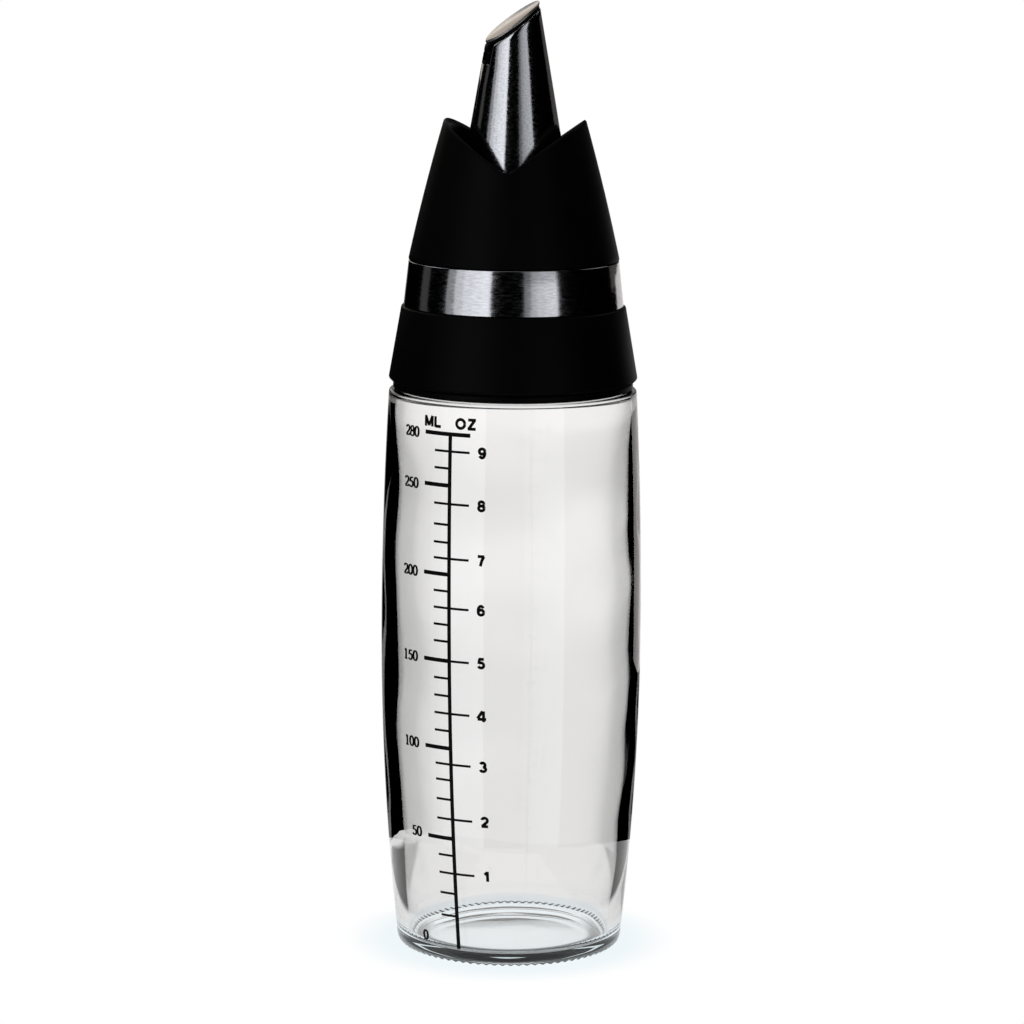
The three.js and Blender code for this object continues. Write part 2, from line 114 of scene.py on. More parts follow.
# The inner wall lies off the axis, is thin at one height, and has waves that fade out towards its ends
SHIFT_ANGLE = math.radians(166)
THIN_HEIGHT = 130.0
THIN_SPREAD = 18.0
WAVE_START = 8.0
WAVE_FADE_IN = 14.0
WAVE_FADE_OUT = 8.0
SLOW_WAVE = 74.0
QUICK_WAVE = 41.0
SMALL_WAVE = 23.0

# Screw thread on the neck and in the cap
THREAD_PITCH = 4.0
THREAD_TURNS = 1.5
THREAD_CREST = 0.35
THREAD_FLANK = 0.5
THREAD_RUN_OUT = 0.1
NECK_THREAD_START = NECK_BOTTOM + 1.1
CAP_THREAD_START = NECK_THREAD_START - THREAD_PITCH / 2

# Pourer
SEAT_GAP = 0.2
CAP_LOW, CAP_HIGH = span("inner_cap")
CAP_BORE = 23.8
CAP_RIM_RADIUS = CAP_HIGH.x
CAP_RIM_TOP = CAP_LOW.z + 1.5
CAP_GAP = 0.3
CAP_WALL = 1.0
CAP_RIM_BORE = COLLAR_RADIUS + CAP_GAP
CAP_SLANT = COLLAR_RADIUS + COLLAR_TOP + CAP_GAP * math.sqrt(2)
BELL_SLANT = CAP_SLANT + CAP_WALL * math.sqrt(2)
CAP_SLEEVE = 25.0
DECK_BOTTOM = 151.2
DECK_TOP = 153.2
DECK_HOLE = 15.5
SNAP_RING = 21.4
SNAP_RING_BORE = 20.2
SNAP_BEAD = 0.35
SNAP_BEAD_HEIGHT = DECK_TOP + 4.3
SNAP_BEAD_HALF = 0.6
SKIRT_LOW, SKIRT_HIGH = span("skirt")
SKIRT_TOP_RADIUS = 26.6
SKIRT_WALL = 1.4
SKIRT_CHAMFER = 0.75
SKIRT_LIP_BORE = 23.4
SKIRT_LIP_THICKNESS = 1.2
BAND_LOW, BAND_HIGH = span("steel_band")
BAND_TAPER = 1.2
BAND_THICKNESS = 0.6
BAND_TOP_RADIUS = BAND_HIGH.x - BAND_TAPER

# Hood
HOOD_BOTTOM = BAND_HIGH.z + SEAT_GAP
HOOD_TOP = HOOD_BOTTOM + 33.6
HOOD_RADIUS = BAND_TOP_RADIUS + 0.1
HOOD_TOP_RADIUS = HOOD_RADIUS - 8.45
HOOD_BULGE = 0.6
HOOD_WALL = 1.8
HOOD_FLOOR_BOTTOM = HOOD_BOTTOM + 1.6
HOOD_FLOOR_TOP = HOOD_FLOOR_BOTTOM + 1.8
HOOD_TURN = math.radians(-20)
V_BOTTOM = HOOD_TOP - 12.1
V_SLOPE = 11.7 / HOOD_TOP_RADIUS
V_ROUND = 0.4
SPIGOT_RADIUS = 23.2
SPIGOT_BORE = 21.6
SPIGOT_BOTTOM = DECK_TOP + SEAT_GAP
HOLD_DOWN_GAP = 0.3
HOLD_DOWN_WALL = 1.5

# Spout, with the slanting plane of its mouth through the tip
SPOUT_LOW, SPOUT_HIGH = span("spout")
FLANGE_RADIUS = SPOUT_HIGH.x
FLANGE_TOP = SPOUT_LOW.z + 0.8
CONE_FOOT = FLANGE_TOP + 0.5
SPOUT_TIP = SPOUT_HIGH.z
SPOUT_TIP_RADIUS = 5.7
SPOUT_RADIUS = 17.65
SPOUT_WALL = 0.8
SPOUT_TAPER = (SPOUT_RADIUS - SPOUT_TIP_RADIUS) / (SPOUT_TIP - FLANGE_TOP)
MOUTH_ANGLE = math.radians(36.2)
MOUTH_ALONG = Vector((math.cos(MOUTH_ANGLE), 0, math.sin(MOUTH_ANGLE)))
MOUTH_TIP = Vector((SPOUT_TIP_RADIUS, 0, SPOUT_TIP))
MOUTH_LENGTH = 2 * SPOUT_TIP_RADIUS / (MOUTH_ALONG.x - SPOUT_TAPER * MOUTH_ALONG.z)
SLOT_HALF_WIDTH = 3.5
SLOT_BOTTOM = span("hinge_block")[0].z - SEAT_GAP
SLOT_COLUMNS = 10
PLATE_BOTTOM = 0.9
PLATE_TOP = 1.4
HEEL_CUT = 0.8
# Below these lifts over the mouth, the plate's edge is rougher and painted darker: painted shade
SHEARED_SHADE_FROM = PLATE_TOP - 0.12
SHEARED_SHADE_TO = PLATE_TOP - 0.02

# Eased edges, and the angles in radians from which an edge counts as sharp
FINE_EASE = 0.1
EASE = 0.2
WIDE_EASE = 0.3
CAP_EASE = 0.25
CHAMFER_EASE = 0.5
STEEL_EASE = 0.12
HINGE_EASE = 0.08
SPOUT_SHARP = 0.9
PLATE_SHARP = 0.6
HINGE_SHARP = 0.5

# Printed scale, in millimetres to the right of its upright line and up from the table
MARK_HEIGHTS = {
    0: 9.1, 10: 11.9, 20: 17.5, 30: 22.5, 40: 26.9, 50: 31.1, 80: 45.4, 100: 53.1,
    150: 74.1, 160: 78.7, 200: 94.6, 220: 102.1, 230: 106.3, 240: 111.2, 250: 115.5, 280: 127.5,
}
MILLILITRE_STEP = 10
BOLD_STEP = 50
OUNCE_STEP = 30
SCALE_BOTTOM = 3.8
ZERO_HEIGHT = 5.4
LINE_WIDTH = 0.95
TICK_WIDTH = 0.57
BOLD_WIDTH = 0.96
BOLD_REACH = 7.2
TICK_REACH = 4.25
OUNCE_REACH = 5.0
BAR_REACH = 5.1
MILLILITRE_EDGE = -9.3
ZERO_EDGE = -8.8
OUNCE_MIDDLE = 8.0
OUNCE_RAISE = 0.05
NUMBER_HEIGHT = 2.4
NUMBER_WIDTH = 1.7
NUMBER_LEAN = 0.0085
NUMBER_PEN = 0.68
NUMBER_HAIR = 0.34
NUMBER_RAISE = 0.2
TOP_NUMBER_RAISE = 0.3
UNIT_HEIGHT = 130.1
ML_MIDDLE = -4.95
OZ_MIDDLE = 3.9
SANS_HEIGHT = 2.8
SANS_PEN = 0.72
SANS_WIDTH = 2.05
SANS_WIDTHS = {"4": 2.3, "M": 2.7, "L": 2.15, "O": 2.8, "Z": 2.35}
SANS_GAP = 0.2
INK_LIFT = 0.012
INK_THICKNESS = 0.03

# Lines that the flat print is cut along, so that it bends round the glass
UPRIGHT_CUTS = [across + 0.5 for across in range(-16, 11)]
LEVEL_CUTS = range(6, 132, 4)

# Stage, in metres
FLOOR_RADIUS = 0.102
FLOOR_SEGMENTS = 96
PAPER_GRAIN = 900
LAMP_DISTANCE = 0.9
OVERHEAD_HEIGHT = 1.2
SOFTBOX_STEPS = (0.3, 0.7, 0.9, 1.0, 1.1)
SOFTBOX_COLOUR = (0.93, 0.95, 1)
SENSOR_WIDTH = 36

# Where the floor changes, from and to: the light that the glass throws, the painted contact shadow in a
# ring that the foot touches and its part behind, and the painted dark sides that the glass shows
CAST_ZONE = (0.027, 0.042)
CONTACT_SHADOW_INNER = (0.0185, 0.0205)
CONTACT_SHADOW_OUTER = (0.0254, 0.0268)
CONTACT_SHADOW_BEHIND = (0.0, 0.014)
SHADED_SIDE_ZONE = (0.041, 0.047)
SHADED_SIDE_END = (0.094, 0.098)

# Tones of the floor: the painted contact shadow, how much painted shade dims all of it in the glass, how
# much lighter the painted dark sides are straight through the glass, and how bare it is at the foot
CONTACT_SHADOW_TONE = (0.01, 0.014, 0.018, 1)
FLOOR_SHADE_IN_GLASS = 0.16
SHADED_SIDES_LIGHTER = 0.5
FLOOR_BARE = 0.92

# The white sheet behind the object, in degrees to each side: as wall reflections see it, straight through
# the glass, and where it begins again round the other sides
SHEET_CORE = 10
SHEET_EDGE = 15
WIDE_CORE = 21
WIDE_EDGE = 27
AROUND_EDGE = 46
AROUND_CORE = 58

# The sheet's own tone: it fades from its middle to the sides, in degrees, and towards the table
MIDDLE_CORE = 3.5
MIDDLE_EDGE = 12
SIDE_TONE = 0.75
LOW_ZONE = (-0.225, -0.165)
LOW_TONE = 0.88
BETWEEN_TONE = 0.6

# How bright the sheet and the room are to rays caught in the wall, to rays that leave it late, and to steel
SHEET_IN_WALL = 0.6
ROOM_IN_WALL = 0.35
LATE_TONE = 0.8
SHEET_IN_STEEL = 0.3

# Rays that fall less steeply than this see the light of the room, which reaches lower to the right
ABOVE_ZONE = (-0.035, -0.005)
ABOVE_LEAN = 0.2

# A ray has gone straight through the glass when it has crossed more faces than this, and is an echo in the
# wall when it was thrown back more often than this
THROUGH_CROSSINGS = 2.5
ECHO_TURNS = 1.5

WHITE = (1, 1, 1, 1)
WARM_WHITE = (1, 0.985, 0.975, 1)

# Points this near to each other, in millimetres, are on one line, or are one point
SAME_LINE = 1e-3
SAME_POINT = 1e-4

# Facets, and how often a point's height on a slanted rim is worked out again until it settles
TOOTH_STEPS = 5
ROUND_SEGMENTS = 192
SPOUT_SEGMENTS = 128
OVAL_STEPS = 20
RIM_ROUNDS = 24
MOUTH_ROUNDS = 8


# Shapes

def steps(first, last, count):
    """Evenly spaced numbers from first to last."""
    return [first + (last - first) * i / count for i in range(count + 1)]


def cosine(degrees):
    return math.cos(math.radians(degrees))


def arc(centre, radius, start, end, count):
    """Points on an arc in radius and height, between two angles in degrees."""
    angles = [math.radians(angle) for angle in steps(start, end, count)]
    return [(centre[0] + radius * math.cos(a), centre[1] + radius * math.sin(a)) for a in angles]


def oval(centre, across, up, start, end):
    """Points round an oval, between two angles in degrees."""
    angles = [math.radians(angle) for angle in steps(start, end, OVAL_STEPS)]
    return [(centre[0] + across * math.cos(a), centre[1] + up * math.sin(a)) for a in angles]


def rounded(corners, count=3):
    """A closed outline of corners (radius, height, round) with each corner eased by its round."""
    points = []
    for i, (radius, height, ease) in enumerate(corners):
        corner = Vector((radius, height))
        if ease == 0:
            points.append(corner)
            continue
        before = (Vector(corners[i - 1][:2]) - corner).normalized()
        after = (Vector(corners[(i + 1) % len(corners)][:2]) - corner).normalized()
        half = before.angle(after) / 2
        centre = corner + (before + after).normalized() * ease / math.sin(half)
        start = corner + before * ease / math.tan(half) - centre
        end = corner + after * ease / math.tan(half) - centre
        turn = start.angle_signed(end)
        points += [centre + Matrix.Rotation(-turn * k / count, 2) @ start for k in range(count + 1)]
    return [tuple(point) for point in points]


def turned(points, segments, closed=True):
    """An outline in radius and height, spun once round the Z axis."""
    bm = bmesh.new()
    verts = [bm.verts.new((radius, 0, height)) for radius, height in points]
    edges = [bm.edges.new(pair) for pair in zip(verts, verts[1:])]
    if closed:
        edges.append(bm.edges.new((verts[-1], verts[0])))
    bmesh.ops.spin(
        bm, geom=verts + edges, cent=(0, 0, 0), axis=(0, 0, 1), angle=FULL_TURN, steps=segments,
        use_merge=True,
    )
    tidy(bm)
    return bm


def tidy(bm):
    """Merges doubles and turns the faces outward."""
    bmesh.ops.remove_doubles(bm, verts=bm.verts, dist=SAME_POINT)
    bmesh.ops.recalc_face_normals(bm, faces=bm.faces)


def eased_edges(bm, edges, width, count=2):
    bmesh.ops.bevel(
        bm, geom=edges, offset=width, offset_type="OFFSET", segments=count, profile=0.5,
        affect="EDGES", material=-1, clamp_overlap=True,
    )


def finished(name, bm, material, body, nodes=(), crease=30):
    """Turns a mesh in millimetres into a piece that rides on a body."""
    bmesh.ops.scale(bm, vec=(MM, MM, MM), verts=bm.verts)
    mesh = bpy.data.meshes.new(name)
    bm.to_mesh(mesh)
    bm.free()
    mesh.shade_smooth()
    mesh.set_sharp_from_angle(angle=math.radians(crease))
    mesh.materials.append(material)
    piece = bpy.data.objects.new(name, mesh)
    bpy.context.scene.collection.objects.link(piece)
    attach(piece, body)
    if nodes:
        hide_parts(*nodes)
    return piece


def barrel(height, inset=0.0):
    """The radius of the bottle's side at a height, or of a line inside it."""
    arc_radius = LOWER_ARC if height < BELLY_HEIGHT else UPPER_ARC
    centre = BELLY_RADIUS - arc_radius
    return centre + math.sqrt((arc_radius - inset) ** 2 - (height - BELLY_HEIGHT) ** 2)


def thread_height(angle, height, start):
    """How far a point is up the flank of a right-hand thread, from 0 at its root to 1 on its crest."""
    turn = angle % FULL_TURN / FULL_TURN
    lap = round((height - start) / THREAD_PITCH - turn)
    along = turn + lap
    if not 0 <= along <= THREAD_TURNS:
        return 0.0
    off_centre = abs(height - start - along * THREAD_PITCH)
    flank = min(1, max(0, 1 - (off_centre - THREAD_CREST) / THREAD_FLANK))
    run_out = min(1, along / THREAD_RUN_OUT, (THREAD_TURNS - along) / THREAD_RUN_OUT)
    return flank * run_out


def spout_side(height, inset=0.0):
    return SPOUT_TIP_RADIUS + SPOUT_TAPER * (SPOUT_TIP - height) - inset


def mouth_height(angle, inset, lift):
    """Where the spout's cone meets a plane at a lift above its mouth, at an angle from the tip."""
    slope = math.tan(MOUTH_ANGLE)
    across = math.cos(angle)
    rise = lift / MOUTH_ALONG.x + slope * ((SPOUT_TIP_RADIUS - inset) * across - SPOUT_TIP_RADIUS)
    return SPOUT_TIP + rise / (1 + slope * SPOUT_TAPER * across)


def hood_side(height):
    """The radius of the hood's outer face."""
    t = (height - HOOD_BOTTOM) / (HOOD_TOP - HOOD_BOTTOM)
    middle = (HOOD_RADIUS + HOOD_TOP_RADIUS) / 2 + HOOD_BULGE
    return (1 - t) ** 2 * HOOD_RADIUS + 2 * t * (1 - t) * middle + t ** 2 * HOOD_TOP_RADIUS


# Shaders

class Value:
    """A socket in a shader. Arithmetic on it adds Math nodes."""

    def __init__(self, shader, socket):
        self.shader = shader
        self.socket = socket

    def output(self, name):
        return Value(self.shader, self.socket.node.outputs[name])

    def math(self, operation, *others):
        inputs = dict(enumerate((self, *others)))
        return self.shader.node("ShaderNodeMath", {"operation": operation}, inputs)

    def __add__(self, other):
        return self.math("ADD", other)

    def __radd__(self, other):
        return self.math("ADD", other)

    def __sub__(self, other):
        return self.math("SUBTRACT", other)

    def __rsub__(self, other):
        return (self * -1).math("ADD", other)

    def __mul__(self, other):
        return self.math("MULTIPLY", other)

    def __rmul__(self, other):
        return self.math("MULTIPLY", other)

    def __truediv__(self, other):
        return self.math("DIVIDE", other)

    def __rtruediv__(self, other):
        return self.math("POWER", -1) * other

    def __pow__(self, other):
        return self.math("POWER", other)

    def __gt__(self, other):
        return self.math("GREATER_THAN", other)

    def __lt__(self, other):
        return self.math("LESS_THAN", other)


class Shader:
    """Writes the nodes of one material, or of the world."""

    def __init__(self, owner):
        owner.use_nodes = True
        self.tree = owner.node_tree
        self.tree.nodes.clear()

    def node(self, kind, settings=None, inputs=None, output=0):
        """Adds a node: its settings first, then the values or links of its sockets."""
        node = self.tree.nodes.new(kind)
        for name, value in (settings or {}).items():
            setattr(node, name, value)
        for name, value in (inputs or {}).items():
            socket = node.inputs[name]
            if isinstance(value, Value):
                self.tree.links.new(value.socket, socket)
            else:
                socket.default_value = value
        return Value(self, node.outputs[output]) if node.outputs else None

    def place(self):
        """Where a point is on its piece, in millimetres."""
        coordinates = self.node("ShaderNodeTexCoord", output="Object")
        return self.node("ShaderNodeVectorMath", {"operation": "SCALE"}, {0: coordinates, "Scale": 1 / MM})

    def noise(self, vector, scale, detail=2.0):
        return self.node("ShaderNodeTexNoise", {}, {"Vector": vector, "Scale": scale, "Detail": detail})

    def ramp(self, value, low, high):
        """0 below low, 1 above high, and a smooth change between."""
        inputs = {"Value": value, "From Min": low, "From Max": high}
        return self.node("ShaderNodeMapRange", {"interpolation_type": "SMOOTHSTEP"}, inputs)

    def colour(self, factor, low, high):
        return self.node("ShaderNodeMix", {"data_type": "RGBA"}, {0: factor, 6: low, 7: high}, output=2)

    def bump(self, height, strength, distance):
        inputs = {"Height": height, "Strength": strength, "Distance": distance}
        return self.node("ShaderNodeBump", {}, inputs)

    def vector(self, x, y, z):
        return self.node("ShaderNodeCombineXYZ", {}, {"X": x, "Y": y, "Z": z})

    def parts(self, vector):
        """The X, Y and Z of a vector."""
        x = self.node("ShaderNodeSeparateXYZ", {}, {"Vector": vector})
        return x, x.output("Y"), x.output("Z")

    def vector_math(self, operation, *vectors, output="Vector"):
        inputs = dict(enumerate(vectors))
        return self.node("ShaderNodeVectorMath", {"operation": operation}, inputs, output)

    def surface(self, inputs, volume=None):
        shading = self.node("ShaderNodeBsdfPrincipled", {}, inputs)
        outputs = {"Surface": shading}
        if volume:
            outputs["Volume"] = volume
        self.node("ShaderNodeOutputMaterial", {}, outputs)


def shade(colour, factor):
    """A colour with its strength changed, ready for a socket."""
    return (*(channel * factor for channel in colour[:3]), 1)


def at_least(low, mask):
    """A mask that runs from low to 1 instead of from 0."""
    return low + (1 - low) * mask


def blank(name):
    """A new material and the shader that writes its nodes."""
    material = bpy.data.materials.new(name)
    return material, Shader(material)


def glass_finish(settings):
    """Clear moulded glass, with a slow ripple, a trace of dust and a tint that grows with its thickness."""
    material, shader = blank("clear_glass")
    place = shader.place()
    ripple = shader.noise(place, scale=0.05)
    dust = shader.ramp(shader.noise(place, scale=0.6, detail=4), low=0.62, high=0.9)
    dusty = (0.94, 0.95, 0.95, 1)
    volume = shader.node("ShaderNodeVolumeAbsorption", {}, {
        "Color": shade(settings.tint, 1), "Density": settings.tint_density,
    })
    shader.surface(
        {
            "Base Color": shader.colour(dust, WHITE, dusty),
            "Roughness": dust * 0.03,
            "IOR": 1.5,
            "Transmission Weight": 1,
            "Normal": shader.bump(ripple, strength=0.12, distance=0.0006),
        },
        volume,
    )
    return material


def ink_finish(settings):
    """Fired black ink, a little uneven in its cover."""
    material, shader = blank("scale_ink")
    place = shader.place()
    cover = shader.noise(place, scale=1.6, detail=3)
    grain = shader.noise(place, scale=9)
    shader.surface({
        "Base Color": shader.colour(cover, shade(settings.ink, 0.5), shade(settings.ink, 1.5)),
        "Roughness": 0.4 + cover * 0.2,
        "Specular IOR Level": 0.05,
        "Normal": shader.bump(grain, strength=0.15, distance=0.00001),
    })
    return material


def plastic_finish(settings, name, grain):
    """Satin black moulded plastic: a fine spark-eroded grain and slow changes of gloss."""
    material, shader = blank(name)
    place = shader.place()
    cloud = shader.noise(place, scale=0.12, detail=3)
    texture = shader.noise(place, grain)
    shader.surface({
        "Base Color": shader.colour(cloud, shade(settings.plastic, 0.6), shade(settings.plastic, 1.4)),
        "Roughness": 0.36 + cloud * 0.14 + texture * 0.08,
        "Specular IOR Level": 0.05,
        "Normal": shader.bump(texture, strength=0.25, distance=0.00004),
    })
    return material


def brushed(shader, lines, colour, sheared_shade=None):
    """Steel with a brush pattern: the lines' own height, gloss and tone. A sheared edge is rougher, and its
    colour is painted darker as painted shade.
    """
    coarse = shader.ramp(shader.noise(lines, scale=1.0, detail=3), low=0.3, high=0.7)
    fine = shader.noise(lines, scale=3.7)
    relief = coarse * 0.6 + fine * 0.4
    tone = shader.colour(relief, shade(colour, 0.76), shade(colour, 1.18))
    gloss = 0.06 + coarse * 0.08 + fine * 0.03
    # Painted shade: the sheared edge gets a darker colour, and more roughness
    if sheared_shade is not None:
        tone = shader.colour(sheared_shade, tone, shade(colour, 0.6))
        gloss = gloss + sheared_shade * 0.35
    shader.surface({
        "Base Color": tone,
        "Metallic": 1,
        "Roughness": gloss,
        "Normal": shader.bump(relief, strength=0.3, distance=0.00002),
    })


def turned_steel_finish(settings):
    """Steel brushed round the axis, so that its lines lie level."""
    material, shader = blank("steel_brushed_round")
    x, y, z = shader.parts(shader.place())
    radius = (x ** 2 + y ** 2) ** 0.5
    brushed(shader, shader.vector(x / radius * 14, y / radius * 14, z * 3), settings.steel)
    return material


def plate_steel_finish(settings):
    """Steel brushed along the flap's slope, with a sheared edge that is rougher and painted darker as
    painted shade against its reflection.
    """
    material, shader = blank("steel_brushed_straight")
    x, y, z = shader.parts(shader.place())
    along = x * MOUTH_ALONG.x + z * MOUTH_ALONG.z
    lift = (z - MOUTH_TIP.z) * MOUTH_ALONG.x - (x - MOUTH_TIP.x) * MOUTH_ALONG.z
    sheared_shade = 1 - shader.ramp(lift, SHEARED_SHADE_FROM, SHEARED_SHADE_TO)
    brushed(shader, shader.vector(along * 0.25, y * 6, 0), settings.plate, sheared_shade)
    return material


def wire_finish(settings):
    """Drawn steel wire, with its lines along the hinge."""
    material, shader = blank("steel_wire")
    x, y, z = shader.parts(shader.place())
    brushed(shader, shader.vector(x * 14, y * 0.4, z * 14), settings.steel)
    return material


def silicone_finish(settings):
    """Milky silicone with a soft, slightly dusty face."""
    material, shader = blank("milky_silicone")
    place = shader.place()
    cloud = shader.noise(place, scale=0.3, detail=3)
    grain = shader.noise(place, scale=6)
    shader.surface({
        "Base Color": shader.colour(cloud, shade(settings.silicone, 0.92), shade(settings.silicone, 1.04)),
        "Roughness": 0.5 + cloud * 0.2,
        "Subsurface Weight": 0.15,
        "Subsurface Scale": 0.001,
        "Normal": shader.bump(grain, strength=0.1, distance=0.00003),
    })
    return material


# Settings

class CruetGlass(bpy.types.PropertyGroup):
    """The bottle."""

    wave: FloatProperty(
        name="Wave", description="How far the inside of the wall wanders", default=0.0003, unit="LENGTH"
    )
    shift: FloatProperty(
        name="Shift", description="How far the inside lies off the axis", default=0.0003, unit="LENGTH"
    )
    thin: FloatProperty(
        name="Thin", description="How much thinner the wall is near the shoulder",
        default=0.0015, unit="LENGTH",
    )
    thread: FloatProperty(
        name="Thread", description="Height of the neck's thread", default=0.0009, unit="LENGTH"
    )
    teeth: IntProperty(name="Teeth", description="Ribs under the foot", default=84)
    tooth: FloatProperty(
        name="Tooth", description="Depth of the foot's ribs", default=0.0005, unit="LENGTH"
    )
    tint: FloatVectorProperty(
        name="Tint", description="Colour of thick glass", default=(0.34, 0.42, 0.46), subtype="COLOR"
    )
    tint_density: FloatProperty(name="Tint density", description="How soon the tint shows", default=12)


class CruetScale(bpy.types.PropertyGroup):
    """The printed scale."""

    azimuth: FloatProperty(
        name="Azimuth", description="Where the scale's line stands at the belly",
        default=math.radians(-41.6), subtype="ANGLE",
    )
    lean: FloatProperty(
        name="Lean", description="How far the line leans to the left",
        default=math.radians(0.75), subtype="ANGLE",
    )
    ink: FloatVectorProperty(
        name="Ink", description="Colour of the print", default=(0.004, 0.004, 0.004), subtype="COLOR"
    )


class CruetPourer(bpy.types.PropertyGroup):
    """The cap, hood, band, spout and flap."""

    plastic: FloatVectorProperty(
        name="Plastic", description="Colour of the mouldings",
        default=(0.0012, 0.0012, 0.0013), subtype="COLOR",
    )
    steel: FloatVectorProperty(
        name="Steel", description="Colour of the band and spout",
        default=(0.56, 0.56, 0.57), subtype="COLOR",
    )
    plate: FloatVectorProperty(
        name="Plate", description="Colour of the flap's plate", default=(0.58, 0.55, 0.52), subtype="COLOR"
    )
    silicone: FloatVectorProperty(
        name="Silicone", description="Colour of the seals", default=(0.78, 0.76, 0.72), subtype="COLOR"
    )
    edge: FloatProperty(name="Edge", description="Round of moulded edges", default=0.0004, unit="LENGTH")


class CruetStage(bpy.types.PropertyGroup):
    """The floor, lamps and camera."""

    azimuth: FloatProperty(
        name="Azimuth", description="Where the camera stands", default=math.radians(-14), subtype="ANGLE"
    )
    distance: FloatProperty(name="Distance", description="From the axis", default=0.966, unit="LENGTH")
    height: FloatProperty(name="Height", description="Above the table", default=0.270, unit="LENGTH")
    pitch: FloatProperty(
        name="Pitch", description="How far it looks down", default=math.radians(9.7), subtype="ANGLE"
    )
    roll: FloatProperty(
        name="Roll", description="Turn about its own axis", default=math.radians(0.45), subtype="ANGLE"
    )
    lens: FloatProperty(name="Lens", description="Focal length in millimetres", default=144.14)
    softbox: FloatProperty(name="Softbox", description="Brightness of the softboxes", default=1.35)
    floor: FloatVectorProperty(
        name="Floor", description="Colour of the floor", default=(0.93, 0.95, 0.97), subtype="COLOR"
    )
    cast: FloatVectorProperty(
        name="Cast", description="Colour of the light that the glass throws round its foot",
        default=(0.9, 0.97, 1.0), subtype="COLOR",
    )


class CruetSettings(bpy.types.PropertyGroup):
    """All that a user would change."""

    glass: PointerProperty(type=CruetGlass)
    scale: PointerProperty(type=CruetScale)
    pourer: PointerProperty(type=CruetPourer)
    stage: PointerProperty(type=CruetStage)


# Pieces

